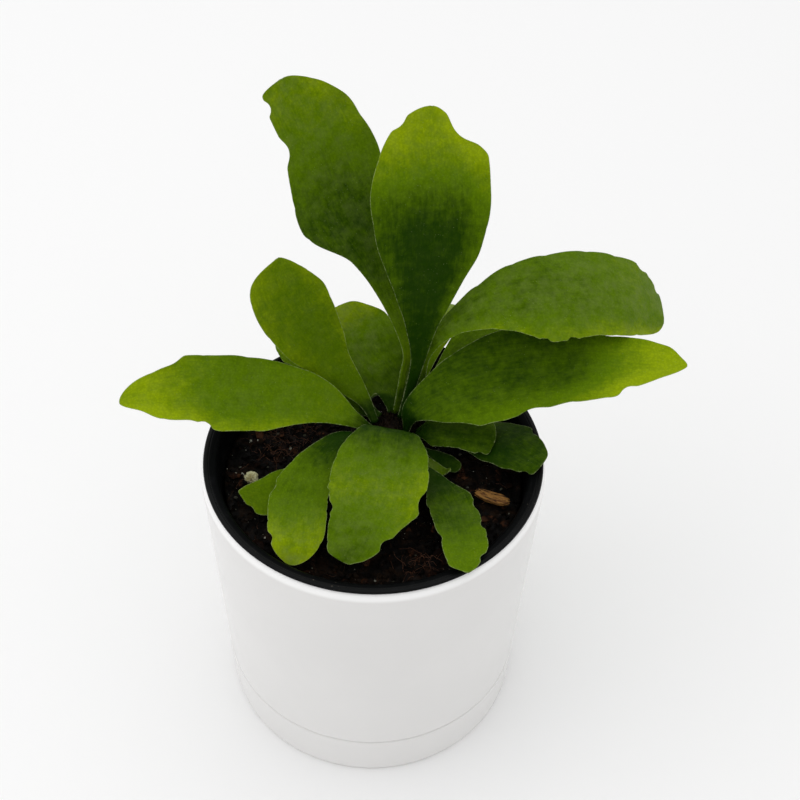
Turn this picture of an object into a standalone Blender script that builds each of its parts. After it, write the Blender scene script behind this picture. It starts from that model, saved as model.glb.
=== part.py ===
"""A young staghorn fern in a black nursery pot, dropped into a white ceramic cover pot on its saucer.

Metres, +Z up. The origin is the centre of the saucer's flat underside, and -Y is the plant's front.
Sizes below are in millimetres and are turned into metres where each mesh is made.
"""

import math

import bmesh
import bpy
from mathutils import Matrix, Vector, noise

MM = 0.001
GAP = 0.4  # clearance between touching pieces

# Driving dimensions
SAUCER_HEIGHT = 22.8
SAUCER_FLOOR = 4.0
BASE_RADIUS = 60.1  # outer radius where the saucer stands
FLARE = 0.036  # outward lean of the pot's and the saucer's outer wall, per unit of height
CERAMIC_HEIGHT = 128.6
CERAMIC_WALL = 4.6
CERAMIC_FLOOR = 5.0
DRAIN_RADIUS = 7.0
FOOT_STEP = 5.2  # how far the cover pot steps in to drop inside the saucer's wall
FOOT_CLEARANCE = 2.4  # from the cover pot's foot to the inside of the saucer's wall
BASE_EDGE = 1.6  # rounding under the saucer
SAUCER_EDGE = 1.0  # rounding on top of the saucer's wall
STEP_EDGE = 0.8  # rounding under the cover pot's step

NURSERY_RIM_RADIUS = 64.0
NURSERY_TOP = 130.4
NURSERY_LIP_WIDTH = 1.9
NURSERY_LIP_HEIGHT = 1.4
NURSERY_ROLL = 2.2  # radius under the edge, where the wall rolls out over the cover pot's rim
NURSERY_ROLL_WALL = 0.8
NURSERY_NECK_RADIUS = 59.2
NURSERY_BASE_RADIUS = 47.5
NURSERY_WALL = 1.2
DRAIN_HOLES = 5
DRAIN_HOLE_RADIUS = 4.0
DRAIN_RING_RADIUS = 30.0

SOIL_TOP = 117.4
SOIL_LUMPS = 1.3  # height of the soil's unevenness
CROWN_CENTRE = Vector((8.0, 21.0, 118.6))
CROWN_RADII = Vector((8.0, 8.0, 5.4))

CROWN_BED = 4.5  # depth of the dip in the soil that the crown sits in

FROND_THICKNESS = 1.2
STALK_GAP = 1.0  # from the crown's surface to the middle of a stalk's end
TIP_SHARE = 0.998  # share of the midrib's length at which a blade's end is cut square
LUMP_CLEARANCE = 0.8  # keeps a loose fragment clear of the lumps under it
ROUND_SEGMENTS = 48
ALONG, ACROSS = 13, 5  # facets of a frond blade along its midrib and from edge to edge

# Shares of the midrib's length at which the half-widths are given. The blade closes at 1.
STATIONS = (0, 0.1, 0.22, 0.35, 0.5, 0.63, 0.75, 0.86, 0.94, 0.985)

# Each frond: where its stalk leaves the crown, as a bearing (0 is +X and 90 is +Y) and a climb above the
# crown's waist, both in degrees; the points its midrib passes after that; the way its upper face looks at
# the base, the middle and the tip; its half-widths left and right of the midrib, seen from above with the
# tip ahead; and how strongly its edges curl up.
FRONDS = {
    "frond_back_left_tall": dict(
        bearing=85, climb=49,
        midrib=[(11, 31.5, 140), (12, 33, 155), (1, 43, 181), (-14, 57, 205), (-24, 67, 226), (-33, 74, 245)],
        faces=[(0.3, -1, 0.2), (0.35, -1, 0.3), (0.5, -1, 0.5)],
        left=(1.4, 1.4, 2.1, 3, 6.4, 17.4, 14, 10.8, 11, 10),
        right=(1.6, 1.6, 2, 5, 10, 18.5, 21.5, 19.5, 13.5, 6),
        cup=0.12,
    ),
    "frond_centre_tall": dict(
        bearing=40, climb=66,
        midrib=[(14, 25, 140), (17, 26, 160), (19, 31, 187), (20, 40, 212), (19, 49, 231), (19, 57, 246)],
        faces=[(0.1, -1, 0.2), (0.1, -1, 0.3), (0, -1, 0.5)],
        left=(1.8, 2, 2.6, 6.4, 13.5, 20, 22, 18.5, 13, 6.5),
        right=(1.8, 2, 2.6, 5, 12, 18.2, 20.5, 20, 9.6, 4.4),
        cup=0.1,
    ),
    "frond_right_upper": dict(
        bearing=17, climb=36,
        midrib=[(18, 28, 141), (20, 29, 155), (29, 29, 171), (47, 30, 183), (71, 34, 182), (93, 38, 174),
                (110, 41, 160)],
        faces=[(-0.6, -0.6, 0.3), (-0.2, -0.5, 1), (0, -0.4, 1)],
        left=(1.6, 1.6, 2, 4.2, 10.2, 15, 17.8, 18, 14.5, 10.5),
        right=(1.6, 1.6, 2, 5, 13, 19.5, 16.3, 13.5, 9, 5),
        cup=-0.1,
    ),
    "frond_right_lower": dict(
        bearing=-40, climb=49,
        midrib=[(14, 16, 138), (25, 18, 147), (39, 20, 152), (61, 20, 157), (89, 19, 161), (115, 16, 162)],
        faces=[(-0.3, -0.5, 1), (-0.2, -0.5, 1), (0, -0.1, 1)],
        left=(1.6, 3, 6.6, 12.4, 16.4, 14.8, 10.8, 9.4, 7.5, 3),
        right=(1.6, 5, 14, 20, 19, 16.2, 16.2, 11, 6, 2.4),
        cup=0.1,
    ),
    "frond_left_upright": dict(
        bearing=165, climb=30,
        midrib=[(-4, 29, 130), (-13, 34, 145), (-23, 36, 163), (-31, 37, 181), (-35, 38, 193)],
        faces=[(0.2, -1, 0.5), (0.3, -1, 0.5), (0.4, -1, 0.8)],
        left=(1.6, 3, 7, 11, 15, 17, 18, 16.4, 13, 7.5),
        right=(1.6, 2, 3, 4, 8, 10, 11, 8.5, 5, 2),
        cup=0.12,
    ),
    "frond_left_low": dict(
        bearing=196, climb=25,
        midrib=[(-8, 17, 130), (-24, 18, 139), (-42, 16, 145), (-61, 13, 149), (-79, 9, 152), (-93, 5, 151)],
        faces=[(0.2, -0.5, 1), (0.2, -0.5, 1), (0, -0.4, 1)],
        left=(1.6, 2.8, 6.4, 11, 15, 15.8, 11.8, 10.5, 5, 2),
        right=(1.6, 3, 8, 11.5, 13.5, 14, 14, 8.5, 6, 3),
        cup=0.1,
    ),
    "frond_back_broad": dict(
        bearing=98, climb=12,
        midrib=[(8, 37, 126), (1, 43, 133), (-9, 54, 140), (-15, 62, 147)],
        faces=[(0.2, -0.7, 0.8), (0.2, -0.7, 0.8), (0.2, -0.7, 0.9)],
        left=(1.6, 6, 11, 15, 17, 17, 16, 15.5, 14, 11),
        right=(1.6, 3, 9, 13, 16, 16, 15.5, 13, 9.5, 6),
        cup=0.12,
    ),
    "frond_front_centre": dict(
        bearing=264, climb=25,
        midrib=[(6, 8, 134), (3, -7, 134), (1, -24, 133), (-5, -42, 132), (-9, -50, 128)],
        faces=[(0, 0.3, 1), (0, -0.2, 1), (0, -0.4, 1)],
        left=(1.6, 4, 12, 17, 18, 17, 12.5, 9.5, 6, 2),
        right=(1.6, 5, 11, 16, 18, 18, 14.5, 12, 10, 8),
        cup=0.04,
    ),
    "frond_front_left": dict(
        bearing=240, climb=14,
        midrib=[(-11, 9, 128), (-21, -3, 128), (-27, -20, 127), (-28, -38, 126), (-29, -47, 123)],
        faces=[(0, 0.2, 1), (0, -0.2, 1), (0, -0.4, 1)],
        left=(1.4, 1.6, 2, 5, 9, 10.4, 11, 10.6, 7.4, 3.6),
        right=(1.4, 2, 4, 6, 9, 11, 10.6, 9.6, 7, 3),
        cup=0.1,
    ),
    "frond_far_left_small": dict(
        bearing=219, climb=5,
        midrib=[(-9, 7, 121), (-20, 2, 122), (-33, -8, 122), (-42, -12, 121), (-50, -14, 124)],
        faces=[(0, 0.1, 1), (0, -0.2, 1), (0, -0.3, 1)],
        left=(1.2, 1.2, 1.5, 2, 5, 9, 11, 10, 6, 2),
        right=(1.2, 1.2, 1.5, 2, 3.5, 5, 6, 5, 3, 1),
        cup=0.1,
    ),
    "frond_front_right": dict(
        bearing=286, climb=10,
        midrib=[(16, 0, 124.5), (24, -9, 123.5), (29, -26, 126), (31, -44, 131), (33, -57, 133)],
        faces=[(0, 0.2, 1), (0, -0.2, 1), (0, -0.4, 1)],
        left=(1.4, 1.4, 2, 4, 9, 9.5, 10, 9.5, 6, 3),
        right=(1.4, 1.4, 3, 5, 8, 8, 7, 6.5, 6, 2),
        cup=0.12,
    ),
    "frond_right_small": dict(
        bearing=334, climb=14,
        midrib=[(22, 14.5, 128.5), (30, 12, 131), (38, 9.5, 131.5), (46, 7, 130)],
        faces=[(0, -0.2, 1), (0, -0.3, 1), (0, -0.3, 1)],
        left=(1.4, 2.4, 5, 8, 9.5, 10, 9.5, 8.5, 6.5, 3),
        right=(1.4, 2, 5, 8, 8, 8, 8, 8, 7, 6),
        cup=-0.1,
    ),
    "frond_right_outer": dict(
        bearing=353, climb=10,
        midrib=[(25, 20, 125), (41, 10, 126.5), (53, 1, 130.5), (62.5, -7.5, 133)],
        faces=[(0, -0.2, 1), (0, -0.3, 1), (0, -0.3, 1)],
        left=(1.4, 1.6, 3, 6, 9.5, 12, 12.6, 9.6, 7, 4.5),
        right=(1.4, 1.4, 2, 4, 7, 8, 8, 7, 6, 5),
        cup=-0.1,
    ),
    "frond_young_curled": dict(
        bearing=303, climb=2,
        midrib=[(20, 5, 120), (26, -1, 120), (29, -3, 124)],
        faces=[(0, 0.2, 1), (0, 0, 1), (-0.8, 0.4, 0.6)],
        left=(1, 1, 1.2, 1.6, 2, 2.4, 2.4, 2, 1.5, 1),
        right=(1, 1, 1.2, 1.6, 2, 2.4, 2.4, 2, 1.5, 1),
        cup=0.25,
    ),
    "frond_young_round": dict(
        bearing=320, climb=2,
        midrib=[(24.5, 7.5, 119.4), (29.5, 3.8, 119.4), (33, 1.5, 119.4)],
        faces=[(0, 0, 1), (0, -0.2, 1), (0, -0.3, 1)],
        left=(1, 1, 1, 1.5, 2.5, 3, 3.4, 3, 2.5, 1.5),
        right=(1, 1, 1, 1.5, 2, 2.5, 3, 3, 2.5, 1.5),
        cup=0.1,
    ),
    "frond_back_right": dict(
        bearing=38, climb=12,
        midrib=[(27, 38, 135), (42, 50, 142), (60, 60, 142), (78, 68, 133)],
        faces=[(0, -0.3, 1), (0, -0.3, 1), (0, -0.1, 1)],
        left=(1.6, 2, 3, 6, 10, 12, 12, 10, 7, 3),
        right=(1.6, 3, 5, 8, 11, 12, 11, 9, 6, 3),
        cup=0.1,
    ),
    "frond_back_drooping": dict(
        bearing=63, climb=9,
        midrib=[(19, 42, 134), (23.5, 62, 138), (25, 80, 132), (26, 92, 119)],
        faces=[(0, -0.3, 1), (0, 0, 1), (0, 0.8, 0.6)],
        left=(1.6, 2, 3, 6, 11, 13, 12, 10, 7, 3),
        right=(1.6, 2, 3, 5, 9, 11, 11, 10, 7, 3),
        cup=-0.1,
    ),
    "frond_back_left": dict(
        bearing=130, climb=12,
        midrib=[(-3, 31, 121), (-14, 39, 126), (-26, 48, 132), (-38, 57, 136)],
        faces=[(0.2, -0.5, 1), (0.2, -0.5, 1), (0.2, -0.3, 1)],
        left=(1.6, 3, 5, 7, 9, 9.5, 9, 8, 6, 3),
        right=(1.6, 3, 5, 7, 9, 9.5, 9, 8, 6, 3),
        cup=0.1,
    ),
}


def material(name, colour, roughness):
    made = bpy.data.materials.new(name)
    made.use_nodes = True
    shader = made.node_tree.nodes["Principled BSDF"]
    shader.inputs["Base Color"].default_value = (*colour, 1)
    shader.inputs["Roughness"].default_value = roughness
    shader.inputs["Metallic"].default_value = 0
    return made


GLAZE = material("white_glaze", (0.86, 0.86, 0.85), 0.22)
BLACK_PLASTIC = material("black_plastic", (0.015, 0.016, 0.018), 0.42)
SOIL = material("potting_mix", (0.03, 0.02, 0.014), 0.95)
LEAF = material("frond_green", (0.09, 0.2, 0.015), 0.5)
RHIZOME = material("rhizome_brown", (0.16, 0.09, 0.05), 0.85)
BARK = material("bark", (0.35, 0.16, 0.06), 0.85)
PERLITE = material("perlite", (0.8, 0.78, 0.72), 0.9)


def finish(mesh, name, surface, smooth_under=40):
    """Turns a bmesh in millimetres into a named object in metres, with its faces outwards."""
    bmesh.ops.scale(mesh, vec=(MM, MM, MM), verts=mesh.verts)
    bmesh.ops.recalc_face_normals(mesh, faces=mesh.faces)
    data = bpy.data.meshes.new(name)
    mesh.to_mesh(data)
    mesh.free()
    data.shade_smooth()
    data.set_sharp_from_angle(angle=math.radians(smooth_under))
    data.materials.append(surface)
    made = bpy.data.objects.new(name, data)
    bpy.context.scene.collection.objects.link(made)
    return made


def spun(profile, closed):
    """A profile of (radius, height) points turned about the Z axis. A closed one makes a ring."""
    mesh = bmesh.new()
    points = [mesh.verts.new((radius, 0, height)) for radius, height in profile]
    edges = [mesh.edges.new(pair) for pair in zip(points, points[1:])]
    if closed:
        edges.append(mesh.edges.new((points[-1], points[0])))
    bmesh.ops.spin(mesh, geom=points + edges, cent=(0, 0, 0), axis=(0, 0, 1), angle=2 * math.pi,
                   steps=ROUND_SEGMENTS, use_merge=True)
    bmesh.ops.remove_doubles(mesh, verts=mesh.verts, dist=0.001)
    return mesh


def arc(centre, radius, start, end, steps):
    """Points of a profile's round corner, angles in degrees from the outward radius."""
    turns = [math.radians(start + (end - start) * i / steps) for i in range(steps + 1)]
    return [(centre[0] + radius * math.cos(a), centre[1] + radius * math.sin(a)) for a in turns]


def outer_radius(height):
    return BASE_RADIUS + FLARE * height


def saucer():
    """A low glazed dish. Its wall carries the cover pot's outline down to the table."""
    base = BASE_RADIUS - BASE_EDGE
    top = outer_radius(SAUCER_HEIGHT)
    inner = top - FOOT_STEP + FOOT_CLEARANCE / 2
    profile = [(0, 0), (base, 0), *arc((base, BASE_EDGE), BASE_EDGE, -60, 0, 2)]
    profile += arc((top - SAUCER_EDGE, SAUCER_HEIGHT - SAUCER_EDGE), SAUCER_EDGE, 0, 90, 2)
    profile += [(inner, SAUCER_HEIGHT), (inner - 1.0, SAUCER_FLOOR), (0, SAUCER_FLOOR)]
    finish(spun(profile, False), "saucer", GLAZE)


def cover_pot():
    """The glazed cover pot: a foot inside the saucer, a step flush with its wall, and a rounded rim."""
    foot_bottom = SAUCER_FLOOR + GAP
    foot = outer_radius(SAUCER_HEIGHT) - FOOT_STEP - FOOT_CLEARANCE / 2
    step = SAUCER_HEIGHT + GAP
    rim = outer_radius(CERAMIC_HEIGHT)
    half = CERAMIC_WALL / 2
    floor = foot_bottom + CERAMIC_FLOOR
    profile = [(DRAIN_RADIUS, foot_bottom), (foot, foot_bottom), (foot, step - 0.1)]
    profile += arc((outer_radius(step) - STEP_EDGE, step + STEP_EDGE), STEP_EDGE, -90, 0, 2)
    profile += arc((rim - half, CERAMIC_HEIGHT - half), half, 0, 180, 6)
    profile += [(foot - CERAMIC_WALL, floor + 2), (foot - CERAMIC_WALL - 1, floor), (DRAIN_RADIUS, floor)]
    finish(spun(profile, True), "ceramic_pot", GLAZE)


def nursery_inner(height):
    """Inner radius of the nursery pot's tapered wall."""
    share = (height - nursery_floor()) / (CERAMIC_HEIGHT - nursery_floor())
    return NURSERY_BASE_RADIUS + (NURSERY_NECK_RADIUS - NURSERY_BASE_RADIUS) * share - NURSERY_WALL


def nursery_floor():
    return SAUCER_FLOOR + CERAMIC_FLOOR + 3 * GAP


def nursery_pot():
    """The thin black pot. Its lip rests on the cover pot's rim, and its floor has round drain holes."""
    low = nursery_floor()
    lip_low = NURSERY_TOP - NURSERY_LIP_HEIGHT
    lip_in = NURSERY_RIM_RADIUS - NURSERY_LIP_WIDTH
    roll = (NURSERY_NECK_RADIUS + NURSERY_ROLL, lip_low - NURSERY_ROLL)
    profile = [(0, low), (NURSERY_BASE_RADIUS, low), *arc(roll, NURSERY_ROLL, 180, 90, 3)]
    profile += [(NURSERY_RIM_RADIUS - 0.3, lip_low)]
    profile += arc((NURSERY_RIM_RADIUS - 0.9, NURSERY_TOP - 0.9), 0.9, 0, 90, 3)
    profile += arc((lip_in + 0.5, NURSERY_TOP - 0.5), 0.5, 90, 180, 2)
    profile += arc(roll, NURSERY_ROLL + NURSERY_ROLL_WALL, 90, 180, 3)
    profile += [(NURSERY_BASE_RADIUS - NURSERY_WALL, low + NURSERY_WALL), (0, low + NURSERY_WALL)]
    pot = finish(spun(profile, False), "nursery_pot", BLACK_PLASTIC)
    drill = bmesh.new()
    for hole in range(DRAIN_HOLES):
        turn = 2 * math.pi * hole / DRAIN_HOLES
        made = bmesh.ops.create_cone(drill, cap_ends=True, segments=12, radius1=DRAIN_HOLE_RADIUS,
                                     radius2=DRAIN_HOLE_RADIUS, depth=10)
        place = Vector((math.cos(turn), math.sin(turn), 0)) * DRAIN_RING_RADIUS
        bmesh.ops.translate(drill, verts=made["verts"], vec=place + Vector((0, 0, low)))
    cutter = finish(drill, "drain_hole_cutter", BLACK_PLASTIC)
    cutter.hide_render = True
    cutter.display_type = "WIRE"
    cut = pot.modifiers.new("drain_holes", "BOOLEAN")
    cut.operation = "DIFFERENCE"
    cut.object = cutter


def soil_height(x, y):
    """The uneven soil surface, sunk in a shallow bowl where the crown is bedded."""
    lumps = noise.noise(Vector((x, y, 3.0)) * 0.09) + 0.5 * noise.noise(Vector((x, y, 9.0)) * 0.23)
    edge = 1 - min(1, math.hypot(x, y) / 56) ** 6
    height = SOIL_TOP + SOIL_LUMPS * lumps * edge
    away = math.hypot(x - CROWN_CENTRE.x, y - CROWN_CENTRE.y) / (CROWN_RADII.x + 5)
    return height - CROWN_BED * max(0, 1 - away ** 4)


def potting_soil():
    """The potting mix, a solid plug that fills the nursery pot to a finger's width under its lip."""
    floor = nursery_floor() + NURSERY_WALL + GAP
    edge = nursery_inner(SOIL_TOP) - GAP
    rings = 9
    profile = [(0, floor), (nursery_inner(floor) - GAP, floor)]
    profile += [(edge * (1 - ring / rings), SOIL_TOP) for ring in range(rings + 1)]
    mesh = spun(profile, False)
    for vert in mesh.verts:
        if vert.co.z > SOIL_TOP - 1:
            vert.co.z = soil_height(vert.co.x, vert.co.y)
    finish(mesh, "potting_soil", SOIL, 80)


def crown():
    """The fern's short creeping stem, a lumpy knob half bedded in the soil."""
    mesh = bmesh.new()
    bmesh.ops.create_icosphere(mesh, subdivisions=3, radius=1)
    for vert in mesh.verts:
        bump = 1 - 0.08 * abs(noise.noise(vert.co * 2.3))
        low = 0.45 if vert.co.z < 0 else 1
        vert.co = CROWN_CENTRE + vert.co * CROWN_RADII * bump * Vector((1, 1, low))
    finish(mesh, "fern_crown", RHIZOME, 80)


def smooth_path(points, samples):
    """A Catmull-Rom curve through the points, as samples spaced evenly along it."""
    ends = [2 * points[0] - points[1], *points, 2 * points[-1] - points[-2]]
    fine = []
    for a, b, c, d in zip(ends, ends[1:], ends[2:], ends[3:]):
        for step in range(40):
            k = step / 40
            fine.append(0.5 * (2 * b + (c - a) * k + (2 * a - 5 * b + 4 * c - d) * k * k
                               + (3 * b - a - 3 * c + d) * k ** 3))
    fine.append(points[-1])
    lengths = [0.0]
    for before, after in zip(fine, fine[1:]):
        lengths.append(lengths[-1] + (after - before).length)
    path = []
    at = 0
    for sample in range(samples):
        goal = lengths[-1] * sample / (samples - 1)
        while lengths[at + 1] < goal and at < len(fine) - 2:
            at += 1
        share = (goal - lengths[at]) / (lengths[at + 1] - lengths[at])
        path.append(fine[at].lerp(fine[at + 1], share))
    return path


def half_width(share, widths):
    """The blade's half-width at a share of its length, read between stations so that its tip is round."""
    far = [math.sqrt(1 - station) for station in (*STATIONS, 1)]
    here = math.sqrt(1 - share)
    for i in range(len(STATIONS)):
        if far[i + 1] <= here <= far[i]:
            k = (far[i] - here) / (far[i] - far[i + 1])
            return max(0.5, (1 - k) * (*widths, 0)[i] + k * (*widths, 0)[i + 1])
    return widths[0]


def root_of(frond):
    """The point just off the crown where a frond's stalk starts, from its bearing and its climb."""
    climb = math.radians(frond["climb"])
    bearing = math.radians(frond["bearing"])
    flat = math.cos(climb)
    way = Vector((flat * math.cos(bearing), flat * math.sin(bearing), math.sin(climb)))
    return CROWN_CENTRE + way * (CROWN_RADII + Vector((STALK_GAP, STALK_GAP, STALK_GAP)))


def frond(name, shape):
    """One spoon-shaped frond: a grid laid along its midrib and thickened into a closed blade."""
    samples = 121
    spine = smooth_path([root_of(shape), *map(Vector, shape["midrib"])], samples)
    base_face, middle_face, tip_face = map(Vector, shape["faces"])
    mesh = bmesh.new()
    bmesh.ops.create_grid(mesh, x_segments=ACROSS, y_segments=ALONG, size=1)
    for vert in mesh.verts:
        side = vert.co.x
        crowded = (0.5 - 0.5 * vert.co.y) ** 1.7  # rows lie closer together near the tip
        share = min(1 - crowded * TIP_SHARE, TIP_SHARE)
        at = min(samples - 2, int(share * (samples - 1)))
        centre = spine[at].lerp(spine[at + 1], share * (samples - 1) - at)
        ahead = (spine[min(at + 2, samples - 1)] - spine[max(at - 1, 0)]).normalized()
        if share < 0.5:
            face = base_face.lerp(middle_face, 2 * share)
        else:
            face = middle_face.lerp(tip_face, 2 * share - 1)
        up = (face - ahead * face.dot(ahead)).normalized()
        across = ahead.cross(up)
        width = half_width(share, shape["left"] if side < 0 else shape["right"])
        vert.co = centre + across * side * width + up * shape["cup"] * side * side * width
    blade = finish(mesh, name, LEAF, 80)
    thick = blade.modifiers.new("blade_thickness", "SOLIDIFY")
    thick.thickness = FROND_THICKNESS * MM
    thick.offset = 0


def lump(name, place, size, turn, surface, seed):
    """A rough fragment lying on the soil: a rounded block with its surface pushed in and out."""
    mesh = bmesh.new()
    bmesh.ops.create_icosphere(mesh, subdivisions=2, radius=0.5)
    for vert in mesh.verts:
        rough = 1 + 0.35 * noise.noise(vert.co * 3.0 + Vector((seed, 0, 0)))
        vert.co = vert.co * rough * Vector(size)
    turned = Matrix.Rotation(math.radians(turn), 3, "Z")
    bmesh.ops.rotate(mesh, verts=mesh.verts, cent=(0, 0, 0), matrix=turned)
    height = soil_height(*place) + size[2] / 2 + LUMP_CLEARANCE
    bmesh.ops.translate(mesh, verts=mesh.verts, vec=(*place, height))
    finish(mesh, name, surface, 50)


for old in list(bpy.data.objects):
    bpy.data.objects.remove(old)

saucer()
cover_pot()
nursery_pot()
potting_soil()
crown()
for frond_name, frond_shape in FRONDS.items():
    frond(frond_name, frond_shape)
lump("bark_chip", (44, -13), (12.5, 5, 3), -22, BARK, 1.0)
lump("perlite_chunk", (-46, -4), (6, 5, 4), 30, PERLITE, 5.0)
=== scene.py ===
"""The looks of the potted staghorn fern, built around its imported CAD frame.

Everything is in metres, +Z up, with the origin under the middle of the saucer and -Y at the plant's front.
"""

import math
import random

import bmesh
import bpy
import numpy as np
from mathutils import Matrix, Vector, kdtree, noise


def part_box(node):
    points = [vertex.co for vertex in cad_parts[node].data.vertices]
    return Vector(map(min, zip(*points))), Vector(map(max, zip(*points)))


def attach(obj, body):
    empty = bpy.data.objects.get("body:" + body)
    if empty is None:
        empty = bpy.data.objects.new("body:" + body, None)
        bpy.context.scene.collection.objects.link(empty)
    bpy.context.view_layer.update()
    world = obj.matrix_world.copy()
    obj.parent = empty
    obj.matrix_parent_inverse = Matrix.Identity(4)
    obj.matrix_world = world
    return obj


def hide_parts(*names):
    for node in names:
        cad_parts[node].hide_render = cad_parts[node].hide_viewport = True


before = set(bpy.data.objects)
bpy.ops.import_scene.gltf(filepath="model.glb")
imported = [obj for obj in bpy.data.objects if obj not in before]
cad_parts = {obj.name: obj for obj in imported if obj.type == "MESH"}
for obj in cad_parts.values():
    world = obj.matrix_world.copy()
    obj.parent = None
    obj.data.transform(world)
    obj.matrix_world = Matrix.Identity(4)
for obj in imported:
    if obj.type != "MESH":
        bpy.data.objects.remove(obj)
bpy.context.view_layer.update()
MM = 0.001

# ---------------------------------------------------------------------------------------------------------
# The table, the light and the camera. A plain white table under soft studio light: a bright even room, a
# wide panel overhead and a smaller one at the left. The camera looks down on the pot from its front.

CAMERA_PLACE = (0, -0.34464, 0.52653)
CAMERA_YAW, CAMERA_PITCH, CAMERA_ROLL = 0.027, 0.817, 0.028
CAMERA_LENS = 63
TABLE_SIZE = 8.0
TABLE_WHITE = (0.95, 0.95, 0.95)
ROOM_WHITE = (1.0, 1.0, 1.0)
ROOM_STRENGTH = 0.72
# name, place, width, power
PANELS = (("overhead_panel", (-0.15, 0.15, 1.60), 3.0, 14.0), ("left_panel", (-1.30, -0.25, 1.00), 1.1, 2.0))

table_mesh = bmesh.new()
bmesh.ops.create_grid(table_mesh, x_segments=1, y_segments=1, size=TABLE_SIZE / 2)
table_data = bpy.data.meshes.new("table")
table_mesh.to_mesh(table_data)
table_mesh.free()
table = bpy.data.objects.new("table", table_data)
bpy.context.scene.collection.objects.link(table)
table_paint = bpy.data.materials.new("table_white")
table_paint.use_nodes = True
table_shader = table_paint.node_tree.nodes["Principled BSDF"]
table_shader.inputs["Base Color"].default_value = (*TABLE_WHITE, 1)
table_shader.inputs["Roughness"].default_value = 0.7
table_shader.inputs["Specular IOR Level"].default_value = 0.2
table_data.materials.append(table_paint)

room = bpy.data.worlds.new("room")
room.use_nodes = True
room.node_tree.nodes["Background"].inputs["Color"].default_value = (*ROOM_WHITE, 1)
room.node_tree.nodes["Background"].inputs["Strength"].default_value = ROOM_STRENGTH
bpy.context.scene.world = room
bpy.context.scene.view_settings.view_transform = "Standard"

for panel_name, place, width, power in PANELS:
    lamp = bpy.data.lights.new(panel_name, "AREA")
    lamp.size = width
    lamp.energy = power
    panel = bpy.data.objects.new(panel_name, lamp)
    panel.location = place
    panel.rotation_euler = (Vector((0, 0, 0.1)) - Vector(place)).to_track_quat("-Z", "Y").to_euler()
    bpy.context.scene.collection.objects.link(panel)

camera_data = bpy.data.cameras.new("camera")
camera_data.lens = CAMERA_LENS
camera_data.clip_start = 0.01
camera = bpy.data.objects.new("camera", camera_data)
camera.matrix_world = (
    Matrix.Translation(CAMERA_PLACE)
    @ Matrix.Rotation(-CAMERA_YAW, 4, "Z")
    @ Matrix.Rotation(math.pi / 2 - CAMERA_PITCH, 4, "X")
    @ Matrix.Rotation(CAMERA_ROLL, 4, "Z")
)
bpy.context.scene.collection.objects.link(camera)
bpy.context.scene.camera = camera

# ---------------------------------------------------------------------------------------------------------
# Saucer. Slip-cast white earthenware, glazed all over but for the foot it was fired on. Its wall carries
# the cover pot's outline down to the table, and the two meet in a fine shadow line.

TURNED_STEPS = 192
SAUCER_EDGE = 1.1 * MM
SAUCER_BASE_EDGE = 2.0 * MM
SAUCER_FLOOR = 4.0 * MM
SAUCER_WALL = 4.0 * MM
SAUCER_INNER_EDGE = 0.6 * MM
SAUCER_COVE = 3.0 * MM  # rounding between its wall and its floor
SAUCER_WALL_SLOPE = 1.0 * MM  # how far its wall's inner face comes in on the way down
FOOT_RECESS = 0.7 * MM  # the underside is hollowed a little inside its foot ring
FOOT_RING = 5.0 * MM
FOOT_SLOPE = 1.5 * MM
GLAZE_WHITE = (0.785, 0.775, 0.763)
# The rim colour is a painted highlight on the cover pot's rolled rim, where it catches the overhead light.
RIM_HIGHLIGHT_WHITE = (0.97, 0.965, 0.96)
IRON_SPECK = (0.45, 0.42, 0.38)
BARE_CLAY_DARK, BARE_CLAY_LIGHT = (0.62, 0.57, 0.50), (0.72, 0.68, 0.62)


def into_scene(mesh, name, skin, slot_name, *nodes, smooth_under=40):
    """Makes a bmesh a finished piece that rides on the root body and stands for the named CAD nodes."""
    data = bpy.data.meshes.new(name)
    mesh.to_mesh(data)
    mesh.free()
    data.shade_smooth()
    data.set_sharp_from_angle(angle=math.radians(smooth_under))
    data.materials.append(skin)
    piece = bpy.data.objects.new(name, data)
    bpy.context.scene.collection.objects.link(piece)
    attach(piece, "root")
    if nodes:
        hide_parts(*nodes)
    return piece


def turned(profile, closed=False):
    """A profile of (radius, height) points spun once about the pot's axis."""
    mesh = bmesh.new()
    points = [mesh.verts.new((radius, 0, height)) for radius, height in profile]
    edges = [mesh.edges.new(pair) for pair in zip(points, points[1:])]
    if closed:
        edges.append(mesh.edges.new((points[-1], points[0])))
    bmesh.ops.spin(mesh, geom=points + edges, cent=(0, 0, 0), axis=(0, 0, 1), angle=2 * math.pi,
                   steps=TURNED_STEPS, use_merge=True)
    bmesh.ops.remove_doubles(mesh, verts=mesh.verts, dist=1e-6)
    bmesh.ops.recalc_face_normals(mesh, faces=mesh.faces)
    return mesh


def corner(centre, radius, start, end, steps=6):
    """Points round a profile's corner, angles in degrees from straight out."""
    turns = [math.radians(start + (end - start) * i / steps) for i in range(steps + 1)]
    return [(centre[0] + radius * math.cos(a), centre[1] + radius * math.sin(a)) for a in turns]


def wall_run(low, high, steps=10):
    """Points up a straight wall, so that the surface can be shaded evenly along it."""
    return [(low[0] + (high[0] - low[0]) * i / steps, low[1] + (high[1] - low[1]) * i / steps)
            for i in range(1, steps)]


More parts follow.
